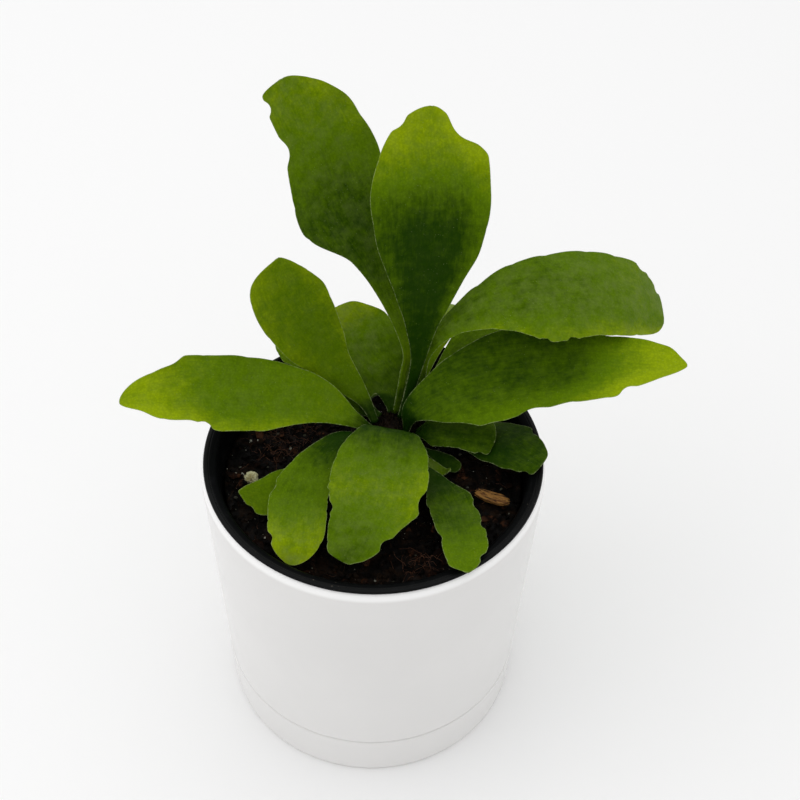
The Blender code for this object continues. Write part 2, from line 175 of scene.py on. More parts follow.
class Skin:
    """A node material, built up from small named steps."""

    def __init__(self, name):
        self.material = bpy.data.materials.new(name)
        self.material.use_nodes = True
        self.tree = self.material.node_tree
        self.shader = self.tree.nodes["Principled BSDF"]
        self.place = self.tree.nodes.new("ShaderNodeTexCoord").outputs["Object"]

    def link(self, value, socket):
        if isinstance(value, bpy.types.NodeSocket):
            self.tree.links.new(value, socket)
        else:
            socket.default_value = (*value, 1) if isinstance(value, tuple) and len(value) == 3 else value

    def set(self, **sockets):
        """Sets or links the shader's own sockets, named with _ for a space."""
        for name, value in sockets.items():
            self.link(value, self.shader.inputs[name.replace("_", " ")])

    def mapped(self, scale, source=None):
        node = self.tree.nodes.new("ShaderNodeMapping")
        self.tree.links.new(source or self.place, node.inputs["Vector"])
        node.inputs["Scale"].default_value = scale
        return node.outputs["Vector"]

    def noise(self, scale, detail=3.0, rough=0.5, vector=None, distortion=0.0):
        node = self.tree.nodes.new("ShaderNodeTexNoise")
        self.tree.links.new(vector or self.place, node.inputs["Vector"])
        node.inputs["Scale"].default_value = scale
        node.inputs["Detail"].default_value = detail
        node.inputs["Roughness"].default_value = rough
        node.inputs["Distortion"].default_value = distortion
        return node.outputs["Fac"]

    def cells(self, scale):
        node = self.tree.nodes.new("ShaderNodeTexVoronoi")
        self.tree.links.new(self.place, node.inputs["Vector"])
        node.inputs["Scale"].default_value = scale
        return node.outputs["Distance"]

    def ramp(self, value, low, high, out_low=0.0, out_high=1.0):
        node = self.tree.nodes.new("ShaderNodeMapRange")
        node.interpolation_type = "SMOOTHSTEP"
        self.tree.links.new(value, node.inputs["Value"])
        limits = {"From Min": low, "From Max": high, "To Min": out_low, "To Max": out_high}
        for name, number in limits.items():
            node.inputs[name].default_value = number
        return node.outputs["Result"]

    def maths(self, operation, a, b):
        node = self.tree.nodes.new("ShaderNodeMath")
        node.operation = operation
        self.link(a, node.inputs[0])
        self.link(b, node.inputs[1])
        return node.outputs["Value"]

    def mix(self, share, a, b):
        node = self.tree.nodes.new("ShaderNodeMix")
        node.data_type = "RGBA"
        self.link(share, node.inputs["Factor"])
        self.link(a, node.inputs["A"])
        self.link(b, node.inputs["B"])
        return node.outputs["Result"]

    def attribute(self, name):
        node = self.tree.nodes.new("ShaderNodeAttribute")
        node.attribute_name = name
        return node.outputs["Fac"]

    def height(self):
        node = self.tree.nodes.new("ShaderNodeSeparateXYZ")
        self.tree.links.new(self.place, node.inputs["Vector"])
        return node.outputs["Z"]

    def bump(self, *layers):
        """Layers of (height, strength, distance in metres), one over the other."""
        normal = None
        for height, strength, distance in layers:
            node = self.tree.nodes.new("ShaderNodeBump")
            self.tree.links.new(height, node.inputs["Height"])
            node.inputs["Strength"].default_value = strength
            node.inputs["Distance"].default_value = distance
            if normal:
                self.tree.links.new(normal, node.inputs["Normal"])
            normal = node.outputs["Normal"]
        self.tree.links.new(normal, self.shader.inputs["Normal"])


def glaze_skin(name, foot_height, rim=None):
    """White gloss glaze: a slow ripple, faint iron specks, a painted highlight on a rim, and bare clay on the
    foot.
    """
    skin = Skin(name)
    cloud = skin.ramp(skin.noise(22, 4, 0.6), 0.3, 0.7)
    white = skin.mix(cloud, GLAZE_WHITE, tuple(c * 0.975 for c in GLAZE_WHITE))
    # Painted highlight: the rim band is painted whiter.
    if rim:
        white = skin.mix(skin.ramp(skin.height(), *rim), white, RIM_HIGHLIGHT_WHITE)
    speck = skin.ramp(skin.cells(420), 0.05, 0.09, 1.0, 0.0)
    rare = skin.ramp(skin.noise(160, 1), 0.64, 0.70)
    speck = skin.maths("MULTIPLY", skin.maths("MULTIPLY", speck, rare), 0.35)
    white = skin.mix(speck, white, IRON_SPECK)
    bare = skin.ramp(skin.height(), foot_height, foot_height + 0.25 * MM, 1.0, 0.0)
    clay = skin.mix(skin.noise(900, 2), BARE_CLAY_DARK, BARE_CLAY_LIGHT)
    skin.set(Base_Color=skin.mix(bare, white, clay))
    wear = skin.ramp(skin.noise(60, 5, 0.7), 0.35, 0.75, 0.30, 0.38)
    skin.set(Roughness=skin.maths("MAXIMUM", wear, skin.maths("MULTIPLY", bare, 0.85)))
    skin.set(IOR=1.5, Coat_Weight=0.6, Coat_Roughness=0.12, Subsurface_Weight=0.05)
    skin.shader.inputs["Subsurface Radius"].default_value = (0.002, 0.002, 0.002)
    skin.bump((skin.noise(45, 2), 0.10, 0.6 * MM), (skin.noise(1600, 2), 0.10, 0.05 * MM))
    return skin.material


saucer_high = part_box("saucer")[1]
pot_low, pot_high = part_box("ceramic_pot")
saucer_top = saucer_high.z
saucer_radius = saucer_high.x
# The two share one straight outline, so the lean of the wall comes from the pot's rim and the saucer's.
lean = (pot_high.x - saucer_radius) / (pot_high.z - saucer_top)
base_radius = saucer_radius - lean * saucer_top
base = base_radius - SAUCER_BASE_EDGE
saucer_profile = [(0, FOOT_RECESS), (base - FOOT_RING - FOOT_SLOPE, FOOT_RECESS), (base - FOOT_RING, 0)]
saucer_profile += [(base - 1.0 * MM, 0), *corner((base, SAUCER_BASE_EDGE), SAUCER_BASE_EDGE, -90, 0)]
saucer_profile += wall_run(saucer_profile[-1], (saucer_radius, saucer_top - SAUCER_EDGE))
saucer_profile += corner((saucer_radius - SAUCER_EDGE, saucer_top - SAUCER_EDGE), SAUCER_EDGE, 0, 90)
saucer_inner = saucer_radius - SAUCER_WALL
saucer_profile += corner((saucer_inner + SAUCER_INNER_EDGE, saucer_top - SAUCER_INNER_EDGE),
                         SAUCER_INNER_EDGE, 90, 180, 3)
saucer_profile += corner((saucer_inner - SAUCER_WALL_SLOPE - SAUCER_COVE, SAUCER_FLOOR + SAUCER_COVE),
                         SAUCER_COVE, 0, -90)
saucer_profile += [(saucer_inner * 0.5, SAUCER_FLOOR), (0, SAUCER_FLOOR)]
SAUCER_GLAZE = glaze_skin("saucer_glaze", 0.2 * MM)
into_scene(turned(saucer_profile), "saucer_glazed", SAUCER_GLAZE, "white_glaze", "saucer")

# ---------------------------------------------------------------------------------------------------------
# Cover pot. The same glazed earthenware: a stepped foot that drops inside the saucer, a straight leaning
# wall, a full rim that rolls over with a painted highlight along it, and a drain hole through its floor.

POT_WALL = 4.6 * MM
POT_FLOOR = 5.0 * MM
POT_STEP_EDGE = 0.9 * MM
POT_STEP = 6.4 * MM  # from the outer wall in to the foot
RIM_DROP = 3.8 * MM  # height over which the rim rolls over to the outside
POT_FOOT_EDGE = 1.2 * MM
POT_COVE = 3.0 * MM  # rounding between its wall and its floor
POT_COVE_TOP = 4.0 * MM  # height over the floor where the inside wall starts
DRAIN_RADIUS = 7.0 * MM
DRAIN_EDGE = 0.8 * MM
SEAM_GAP = 0.4 * MM

step_height = saucer_top + SEAM_GAP
step_radius = base_radius + lean * step_height
foot_radius = step_radius - POT_STEP
foot_low = pot_low.z
rim_half = POT_WALL / 2
rim_centre = (pot_high.x - rim_half, pot_high.z - rim_half)
rim_start = pot_high.z - RIM_DROP
pot_profile = [(DRAIN_RADIUS + DRAIN_EDGE, foot_low), (foot_radius - POT_FOOT_EDGE, foot_low)]
pot_profile += corner((foot_radius - POT_FOOT_EDGE, foot_low + POT_FOOT_EDGE), POT_FOOT_EDGE, -60, 0, 3)
pot_profile += [(foot_radius, step_height)]
pot_profile += corner((step_radius - POT_STEP_EDGE, step_height + POT_STEP_EDGE), POT_STEP_EDGE, -90, 0)
pot_profile += wall_run(pot_profile[-1], (pot_high.x, rim_start), 16)
pot_profile += [(rim_centre[0] + rim_half * out, rim_start + RIM_DROP * up)
                for out, up in corner((0, 0), 1, 0, 90, 9)]
pot_profile += corner(rim_centre, rim_half, 90, 180, 7)[1:]
pot_floor = foot_low + POT_FLOOR
pot_profile += [(foot_radius - POT_WALL, pot_floor + POT_COVE_TOP)]
pot_profile += corner((foot_radius - POT_WALL - POT_COVE, pot_floor + POT_COVE), POT_COVE, 0, -90)
pot_profile += [(DRAIN_RADIUS + DRAIN_EDGE, pot_floor)]
pot_profile += [(DRAIN_RADIUS, pot_floor - DRAIN_EDGE), (DRAIN_RADIUS, foot_low + DRAIN_EDGE)]
# The band from the rim's roll to just over its crest is painted whiter, as a painted highlight.
POT_GLAZE = glaze_skin("cover_pot_glaze", foot_low + 0.2 * MM, rim=(rim_start, rim_centre[1] + 0.4 * MM))
into_scene(turned(pot_profile, closed=True), "cover_pot_glazed", POT_GLAZE, "white_glaze", "ceramic_pot")

# ---------------------------------------------------------------------------------------------------------
# Nursery pot. Thin black polypropylene, vacuum formed: the wall tapers up from a floor with five drain
# holes, and at the top it rolls out into a soft-edged lip that hangs it on the cover pot's rim.

LIP_WIDTH = 1.9 * MM
LIP_HEIGHT = 1.2 * MM
LIP_ROLL = 2.2 * MM  # radius under the edge, where the wall rolls out over the cover pot's rim
LIP_ROLL_WALL = 0.8 * MM
LIP_SETTLE = 0.3 * MM  # how far the lip sinks onto the rim
LIP_EDGE, LIP_INNER_EDGE, LIP_CHAMFER = 0.9 * MM, 0.5 * MM, 0.3 * MM
NURSERY_BASE_EDGE = 1.5 * MM
NECK_RADIUS = 59.2 * MM
NURSERY_BASE_RADIUS = 47.5 * MM
NURSERY_WALL = 1.2 * MM
NURSERY_HOLES, NURSERY_HOLE_RADIUS, NURSERY_HOLE_RING = 5, 4.0 * MM, 30.0 * MM
PLASTIC_BLACK, SALT_GREY = (0.0025, 0.0028, 0.0030), (0.016, 0.017, 0.018)
STUCK_GRIT = (0.10, 0.085, 0.065)


def plastic_skin(name, shine):
    """Black moulded plastic: fine grain, grit and a grey bloom of dried watering salts."""
    skin = Skin(name)
    salt = skin.ramp(skin.noise(140, 5, 0.7), 0.52, 0.75)
    black = skin.mix(skin.maths("MULTIPLY", salt, 0.5), PLASTIC_BLACK, SALT_GREY)
    grit = skin.ramp(skin.cells(700), 0.10, 0.16, 1.0, 0.0)
    grit = skin.maths("MULTIPLY", grit, skin.ramp(skin.noise(90, 2), 0.55, 0.66))
    skin.set(Base_Color=skin.mix(grit, black, STUCK_GRIT))
    skin.set(Roughness=skin.ramp(skin.noise(75, 4, 0.65), 0.3, 0.7, 0.30, 0.48), Specular_IOR_Level=shine)
    drawn = skin.noise(260, 2, vector=skin.mapped((1, 1, 7)))
    skin.bump((drawn, 0.15, 0.10 * MM), (skin.noise(2600, 2), 0.18, 0.04 * MM))
    return skin.material


nursery_low, nursery_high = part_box("nursery_pot")
lip_radius, lip_top = nursery_high.x - LIP_SETTLE, nursery_high.z - LIP_SETTLE
lip_low = lip_top - LIP_HEIGHT
lip_inner = lip_radius - LIP_WIDTH
floor_low = nursery_low.z
base_inner = NURSERY_BASE_RADIUS - NURSERY_BASE_EDGE
nursery_profile = [(0, floor_low), (base_inner, floor_low)]
nursery_profile += corner((base_inner, floor_low + NURSERY_BASE_EDGE), NURSERY_BASE_EDGE, -75, 0, 3)
lip_roll = (NECK_RADIUS + LIP_ROLL, lip_low - LIP_ROLL)
nursery_profile += corner(lip_roll, LIP_ROLL, 180, 90)
nursery_profile += [(lip_radius - LIP_CHAMFER, lip_low), (lip_radius, lip_low + LIP_CHAMFER)]
nursery_profile += corner((lip_radius - LIP_EDGE, lip_top - LIP_EDGE), LIP_EDGE, 0, 90)
nursery_profile += corner((lip_inner + LIP_INNER_EDGE, lip_top - LIP_INNER_EDGE), LIP_INNER_EDGE, 90, 180)
nursery_profile += corner(lip_roll, LIP_ROLL + LIP_ROLL_WALL, 90, 180, 8)
floor_top = floor_low + NURSERY_WALL
nursery_profile += [(NURSERY_BASE_RADIUS - NURSERY_WALL, floor_top), (0, floor_top)]


def faces_the_mix(face):
    """True for a face of the rolled lip, the wall or the floor that looks in at the potting mix."""
    middle = face.calc_center_median()
    within = middle.xy.length < lip_inner - 0.2 * MM and middle.z > floor_low
    return within and face.normal.z > -0.3 and face.normal.xy.dot(middle.xy) <= 0


nursery_mesh = turned(nursery_profile)
for face in nursery_mesh.faces:
    face.material_index = int(faces_the_mix(face))
NURSERY_PLASTIC = plastic_skin("nursery_plastic", 0.10)
nursery = into_scene(nursery_mesh, "nursery_pot_moulded", NURSERY_PLASTIC, "black_plastic", "nursery_pot")
# A film of damp mix dulls the inside.
nursery.data.materials.append(plastic_skin("nursery_plastic_inside", 0.02))
drill = bmesh.new()
for hole in range(NURSERY_HOLES):
    turn = 2 * math.pi * hole / NURSERY_HOLES
    made = bmesh.ops.create_cone(drill, cap_ends=True, segments=32, radius1=NURSERY_HOLE_RADIUS,
                                 radius2=NURSERY_HOLE_RADIUS, depth=10 * MM)
    hole_place = Vector((math.cos(turn), math.sin(turn), 0)) * NURSERY_HOLE_RING
    bmesh.ops.translate(drill, verts=made["verts"], vec=hole_place + Vector((0, 0, floor_low)))
drill_data = bpy.data.meshes.new("drill")
drill.to_mesh(drill_data)
drill.free()
drill_object = bpy.data.objects.new("drill", drill_data)
bpy.context.scene.collection.objects.link(drill_object)
cut = nursery.modifiers.new("drain_holes", "BOOLEAN")
cut.operation = "DIFFERENCE"
cut.object = drill_object
cut_data = bpy.data.meshes.new_from_object(nursery.evaluated_get(bpy.context.evaluated_depsgraph_get()))
nursery.modifiers.clear()
nursery.data = cut_data
bpy.data.objects.remove(drill_object)

# ---------------------------------------------------------------------------------------------------------
# Potting mix. A plug of dark peat and bark fines that fills the nursery pot to just under its lip, with
# crumbs, coir shreds, bark bits and perlite grains worked loose on top; the pale grains are partly painted
# glints.

SOIL_TOP = 117.4 * MM
SOIL_LUMPS = 1.3 * MM
SOIL_RINGS = 58
CROWN_CENTRE = Vector((8.0, 21.0, 118.6)) * MM
CROWN_RADII = Vector((8.0, 8.0, 5.4)) * MM
CROWN_BED = 4.5 * MM  # how deep the mix is hollowed under the crown
CROWN_BED_EDGE = 5.0 * MM  # how far out of the crown the hollow reaches
CROWN_CLEAR = 2.0 * MM
SOIL_REACH = 56.0 * MM
SOIL_BASE_RADIUS = 46.0 * MM
PEAT_BLACK, PEAT_BROWN = (0.0016, 0.0011, 0.0008), (0.0110, 0.0056, 0.0028)
# The pale speck colour stands partly for pale grains and partly for painted glints of the damp mix.
FIBRE_BROWN, PALE_SPECK_AND_GLINT = (0.030, 0.016, 0.009), (0.34, 0.34, 0.29)
BARK_BITS_DARK, BARK_BITS_LIGHT = (0.006, 0.0024, 0.0012), (0.060, 0.023, 0.010)
# The pale grit is partly real perlite dust and partly painted glints, bright bits where the damp mix shines.
GRIT_DARK, GRIT_AND_GLINT_LIGHT = (0.05, 0.05, 0.036), (0.36, 0.36, 0.30)


def soil_level(x, y):
    """Height of the soil at a place: the CAD's slow lumps, hollowed under the crown."""
    place = Vector((x, y, 0)) / MM
    lumps = noise.noise(place * 0.09 + Vector((0, 0, 0.27)))
    lumps += 0.5 * noise.noise(place * 0.23 + Vector((0, 0, 2.07)))
    edge = 1 - min(1, place.length * MM / SOIL_REACH) ** 6
    height = SOIL_TOP + SOIL_LUMPS * lumps * edge
    away = math.hypot(x - CROWN_CENTRE.x, y - CROWN_CENTRE.y) / (CROWN_RADII.x + CROWN_BED_EDGE)
    return height - CROWN_BED * max(0, 1 - away ** 4)


def soil_relief(x, y):
    """Height of the soil with clods, crumbs and grit on its lumps."""
    place = Vector((x, y, 0)) / MM
    clods = noise.noise(place * 0.35) * 0.9
    crumbs = abs(noise.noise(place * 0.9 + Vector((7, 3, 1)))) * 1.3
    grit = noise.noise(place * 2.1) * 0.25
    return soil_level(x, y) + (clods + crumbs + grit - 0.8) * MM


def soil_skin(name, dark, brown, wet):
    """Peat and bark fines: dark, with brown fibres and pale specks, partly painted glints. wet is its
    roughness where it is damp.
    """
    skin = Skin(name)
    earth = skin.mix(skin.ramp(skin.noise(150, 6, 0.7), 0.48, 0.64), dark, brown)
    fibre = skin.noise(420, 4, 0.6, vector=skin.mapped((1, 0.25, 1)), distortion=1.2)
    earth = skin.mix(skin.ramp(fibre, 0.60, 0.70, 0.0, 0.6), earth, FIBRE_BROWN)
    # Pale specks: partly pale grains, partly painted glints.
    speck = skin.ramp(skin.cells(520), 0.07, 0.14, 1.0, 0.0)
    speck = skin.maths("MULTIPLY", speck, skin.ramp(skin.noise(230, 2), 0.58, 0.66))
    skin.set(Base_Color=skin.mix(speck, earth, PALE_SPECK_AND_GLINT))
    skin.set(Roughness=skin.ramp(skin.noise(350, 3), 0.35, 0.65, wet, 0.95), Specular_IOR_Level=0.06)
    skin.bump((skin.noise(700, 5, 0.75), 0.7, 0.5 * MM), (skin.cells(1500), 0.4, 0.15 * MM))
    return skin.material


SOIL_SKIN = soil_skin("potting_mix", PEAT_BLACK, PEAT_BROWN, 0.28)
soil_low, soil_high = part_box("potting_soil")
soil_edge = soil_high.x
soil_profile = [(0, soil_low.z), (SOIL_BASE_RADIUS, soil_low.z)]
soil_profile += [(soil_edge * (1 - ring / SOIL_RINGS), SOIL_TOP) for ring in range(SOIL_RINGS + 1)]
soil = turned(soil_profile)
for vert in soil.verts:
    if vert.co.z > SOIL_TOP - MM:
        vert.co.z = soil_relief(vert.co.x, vert.co.y)
into_scene(soil, "potting_mix_bed", SOIL_SKIN, "potting_mix", "potting_soil", smooth_under=180)

FRAGMENT_ROUGH = 0.5


def fragment(mesh, place, size, spin, tilt, seed):
    """Adds one broken lump to a bmesh: a ball pushed in and out, then stretched and turned."""
    made = bmesh.ops.create_icosphere(mesh, subdivisions=1, radius=0.5)
    for vert in made["verts"]:
        push = 1 + FRAGMENT_ROUGH * noise.noise(vert.co * 3.1 + Vector((seed, seed * 0.37, 0)))
        vert.co = Vector((vert.co.x * size[0], vert.co.y * size[1], vert.co.z * size[2])) * push
    turned_by = Matrix.Rotation(spin, 3, "Z") @ Matrix.Rotation(tilt, 3, "X")
    bmesh.ops.rotate(mesh, verts=made["verts"], cent=(0, 0, 0), matrix=turned_by)
    bmesh.ops.translate(mesh, verts=made["verts"], vec=place)


def scattered(count, seed):
    """Seeded random places over the soil, clear of the crown."""
    chance = random.Random(seed)
    places = []
    while len(places) < count:
        x, y = chance.uniform(-SOIL_REACH, SOIL_REACH), chance.uniform(-SOIL_REACH, SOIL_REACH)
        if math.hypot(x, y) > SOIL_REACH:
            continue
        if math.hypot(x - CROWN_CENTRE.x, y - CROWN_CENTRE.y) < CROWN_RADII.x + CROWN_CLEAR:
            continue
        places.append((x, y, chance))
    return places


BARK_SKIN = soil_skin("bark_fines", BARK_BITS_DARK, BARK_BITS_LIGHT, 0.5)
GRIT_AND_GLINT_SKIN = soil_skin("pale_grit_and_glints", GRIT_DARK, GRIT_AND_GLINT_LIGHT, 0.7)
# name, skin, slot, count, smallest and largest size in mm, how flat, seed
CRUMB_KINDS = (
    ("peat_crumbs", SOIL_SKIN, "potting_mix", 1500, 0.8, 2.8, 0.75, 11),
    ("bark_fines", BARK_SKIN, "potting_mix", 300, 1.0, 5.0, 0.45, 12),
    # Pale grit: partly perlite dust, partly painted glints.
    ("pale_grit_and_glints", GRIT_AND_GLINT_SKIN, "perlite", 210, 0.25, 1.4, 0.8, 13),
)
for crumb_name, crumb_skin, crumb_slot, count, smallest, largest, flat, seed in CRUMB_KINDS:
    crumbs = bmesh.new()
    for x, y, chance in scattered(count, seed):
        grown = (smallest + (largest - smallest) * chance.random() ** 2.5) * MM
        size = (grown * chance.uniform(0.9, 1.7), grown, grown * flat)
        place = Vector((x, y, soil_relief(x, y) + size[2] * 0.2))
        spin, tilt = chance.uniform(0, 6.3), chance.uniform(-0.5, 0.5)
        fragment(crumbs, place, size, spin, tilt, chance.uniform(0, 50))
    into_scene(crumbs, crumb_name, crumb_skin, crumb_slot, smooth_under=35)

# ---------------------------------------------------------------------------------------------------------
# Coir and hair roots. Reddish-brown coconut shreds, matted in two tufts and lying loose over the rest of
# the mix. Each is a hair-thin thread that arches a little off the soil.

# place and reach of a tuft in mm, number of threads, seed
COIR_TUFTS = ((-35, 22, 15, 150, 21), (18, -46, 9, 80, 22), (0, 0, 54, 110, 23))
THREAD_WIDTH = 0.16 * MM
THREAD_STEPS = 6
THREAD_LIE = 0.25 * MM  # height of a thread's ends over the soil
THREAD_REACH = 55.0 * MM
COIR_DARK, COIR_RED = (0.035, 0.012, 0.005), (0.15, 0.055, 0.022)


def thread(mesh, start, way, length, lift, width):
    """Adds one thread: a three-sided section drawn out along the soil, which thins to its end."""
    here, turn = Vector(start), way
    first = [mesh.verts.new() for _ in range(3)]
    section = mesh.faces.new(first)
    for step in range(THREAD_STEPS + 1):
        if step:
            section = bmesh.ops.extrude_discrete_faces(mesh, faces=[section])["faces"][0]
        arch = math.sin(math.pi * step / THREAD_STEPS) * lift
        point = Vector((here.x, here.y, soil_relief(here.x, here.y) + arch + THREAD_LIE))
        side = Vector((-math.sin(way), math.cos(way), 0)) * width * (1 - 0.6 * step / THREAD_STEPS) / 2
        rise = Vector((0, 0, width / 2))
        for vert, offset in zip(section.verts, (side, rise, -side)):
            vert.co = point + offset
        turn += 0.9 * noise.noise(here / MM * 0.3 + Vector((way, 0, 0)))
        here = here + Vector((math.cos(turn), math.sin(turn), 0)) * length / THREAD_STEPS
    mesh.faces.new(reversed(first))


def coir_skin():
    skin = Skin("coir")
    skin.set(Base_Color=skin.mix(skin.noise(300, 3), COIR_DARK, COIR_RED))
    skin.set(Roughness=skin.ramp(skin.noise(800, 2), 0.3, 0.7, 0.6, 0.9))
    skin.bump((skin.noise(3000, 2), 0.3, 0.05 * MM))
    return skin.material


threads = bmesh.new()
for x, y, reach, count, seed in COIR_TUFTS:
    chance = random.Random(seed)
    for _ in range(count):
        way, off = chance.uniform(0, 2 * math.pi), reach * MM * math.sqrt(chance.random())
        start = Vector((x * MM + off * math.cos(way), y * MM + off * math.sin(way), 0))
        length = chance.uniform(3, 9) * MM
        if start.length + length < THREAD_REACH:
            thread(threads, start, chance.uniform(0, 2 * math.pi), length, chance.uniform(0.1, 1.1) * MM,
                   THREAD_WIDTH * chance.uniform(0.6, 1.5))
bmesh.ops.recalc_face_normals(threads, faces=threads.faces)
into_scene(threads, "coir_threads", coir_skin(), "potting_mix")

# ---------------------------------------------------------------------------------------------------------
# Bark chip. A splinter of orange-brown pine bark, torn along its grain when the bark was shredded. It
# lies loose on the mix at the right, with its ends turned up a little.

CHIP_TURN = -22
CHIP_LENGTH, CHIP_BREADTH, CHIP_DEPTH = 12.0 * MM, 4.6 * MM, 2.2 * MM
CHIP_CURL = 0.5 * MM
CHIP_DARK, CHIP_LIGHT = (0.085, 0.030, 0.006), (0.29, 0.145, 0.034)


def grain_skin(name, dark, light, along):
    """Torn bark: long grain along the chip, and dark cracks."""
    skin = Skin(name)
    node = skin.tree.nodes.new("ShaderNodeMapping")
    node.vector_type = "TEXTURE"
    skin.tree.links.new(skin.place, node.inputs["Vector"])
    node.inputs["Rotation"].default_value = (0, 0, math.radians(along))
    node.inputs["Scale"].default_value = (5, 1, 1)
    grain = skin.noise(1500, 5, 0.7, vector=node.outputs["Vector"], distortion=0.4)
    crack = skin.ramp(skin.noise(900, 3, 0.6, vector=node.outputs["Vector"]), 0.36, 0.44, 1.0, 0.0)
    colour = skin.mix(skin.ramp(grain, 0.35, 0.65), dark, light)
    skin.set(Base_Color=skin.mix(crack, colour, tuple(c * 0.25 for c in dark)))
    skin.set(Roughness=skin.ramp(grain, 0.3, 0.7, 0.75, 0.95), Specular_IOR_Level=0.25)
    skin.bump((grain, 0.6, 0.35 * MM), (crack, -0.5, 0.3 * MM))
    return skin.material


chip_low, chip_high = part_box("bark_chip")
chip_middle = (chip_low + chip_high) / 2
chip = bmesh.new()
bmesh.ops.create_cube(chip, size=1)
bmesh.ops.subdivide_edges(chip, edges=chip.edges[:], cuts=9, use_grid_fill=True)
for vert in chip.verts:
    u, v, w = vert.co * 2
    taper = 1 - 0.45 * abs(u) ** 3 + 0.12 * noise.noise(Vector((u * 3, 0, 4)))
    torn = 0.16 * noise.noise(Vector((v * 4, w * 3, u))) * abs(u) ** 2
    ridges = 0.30 * noise.noise(Vector((u * 1.1, v * 6.0, 9)))
    vert.co = Vector((u * CHIP_LENGTH * (0.5 + torn), v * CHIP_BREADTH / 2 * taper,
                      (w / 2 + ridges * (w > 0)) * CHIP_DEPTH * (1 - 0.4 * v * v) + CHIP_CURL * u * u))
chip_turn = Matrix.Rotation(math.radians(CHIP_TURN), 3, "Z")
bmesh.ops.rotate(chip, verts=chip.verts, cent=(0, 0, 0), matrix=chip_turn)
bmesh.ops.translate(chip, verts=chip.verts, vec=chip_middle)
PINE_BARK = grain_skin("pine_bark", CHIP_DARK, CHIP_LIGHT, CHIP_TURN)
into_scene(chip, "pine_bark_chip", PINE_BARK, "bark", "bark_chip", smooth_under=50)

# ---------------------------------------------------------------------------------------------------------
# Perlite. Popped volcanic glass: one big grain, all pits and rounded knobs, stained by the peat. It lies
# loose on the mix at the left.

PERLITE_STAIN, PERLITE_WHITE, PERLITE_PIT_SHADE = (0.24, 0.21, 0.08), (0.58, 0.57, 0.34), (0.10, 0.08, 0.05)

perlite_low, perlite_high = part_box("perlite_chunk")
perlite_middle, perlite_half = (perlite_low + perlite_high) / 2, (perlite_high - perlite_low) / 2
grain = bmesh.new()
bmesh.ops.create_icosphere(grain, subdivisions=5, radius=1)
for vert in grain.verts:
    knob = 1 + 0.20 * noise.noise(vert.co * 1.7) + 0.13 * noise.noise(vert.co * 4.0)
    pit = -0.10 * max(0, noise.noise(vert.co * 7.5 + Vector((3, 1, 2))))
    vert.co = perlite_middle + Vector(vert.co[i] * perlite_half[i] for i in range(3)) * (knob + pit) * 0.94


def perlite_skin():
    skin = Skin("perlite_popped")
    dirt = skin.ramp(skin.noise(330, 5, 0.7), 0.40, 0.62)
    stained = skin.mix(dirt, PERLITE_STAIN, PERLITE_WHITE)
    # Painted shade: the pits are painted darker.
    pits = skin.ramp(skin.cells(1100), 0.15, 0.45, 1.0, 0.0)
    shaded = skin.maths("MULTIPLY", pits, 0.5)
    skin.set(Base_Color=skin.mix(shaded, stained, PERLITE_PIT_SHADE), Roughness=0.9)
    skin.bump((skin.cells(900), 0.6, 0.25 * MM), (skin.noise(2500, 3), 0.4, 0.08 * MM))
    return skin.material


into_scene(grain, "perlite_grain", perlite_skin(), "perlite", "perlite_chunk", smooth_under=180)

# ---------------------------------------------------------------------------------------------------------
# Crown. The fern's short creeping stem, half bedded in the mix and shingled with papery brown scales,
# their browns painted darker as painted shade in the hollow under the fronds. All the fronds grow out of it.

SCALES = 150
SCALE_ROOT, SCALE_TIP = 0.55 * MM, 0.05 * MM  # half-widths
SCALE_SHORT, SCALE_LONG = 2.0, 3.6  # mm
# The scale colours are painted darker than the scales are, as painted shade under the fronds.
SHADED_SCALE_DARK, SHADED_SCALE_BROWN, SHADED_SCALE_EDGE = (0.0024, 0.0015, 0.0009), (0.009, 0.005, 0.0026), (0.030, 0.020, 0.010)


def rhizome_skin():
    skin = Skin("rhizome_scales")
    age = skin.ramp(skin.noise(260, 4, 0.6), 0.35, 0.65)
    brown = skin.mix(age, SHADED_SCALE_DARK, SHADED_SCALE_BROWN)
    skin.set(Base_Color=skin.mix(skin.ramp(skin.noise(1800, 2), 0.6, 0.7), brown, SHADED_SCALE_EDGE))
    skin.set(Roughness=skin.ramp(skin.noise(900, 3), 0.3, 0.7, 0.6, 0.95), Specular_IOR_Level=0.06)
    skin.bump((skin.noise(1300, 4, 0.7), 0.6, 0.15 * MM))
    return skin.material


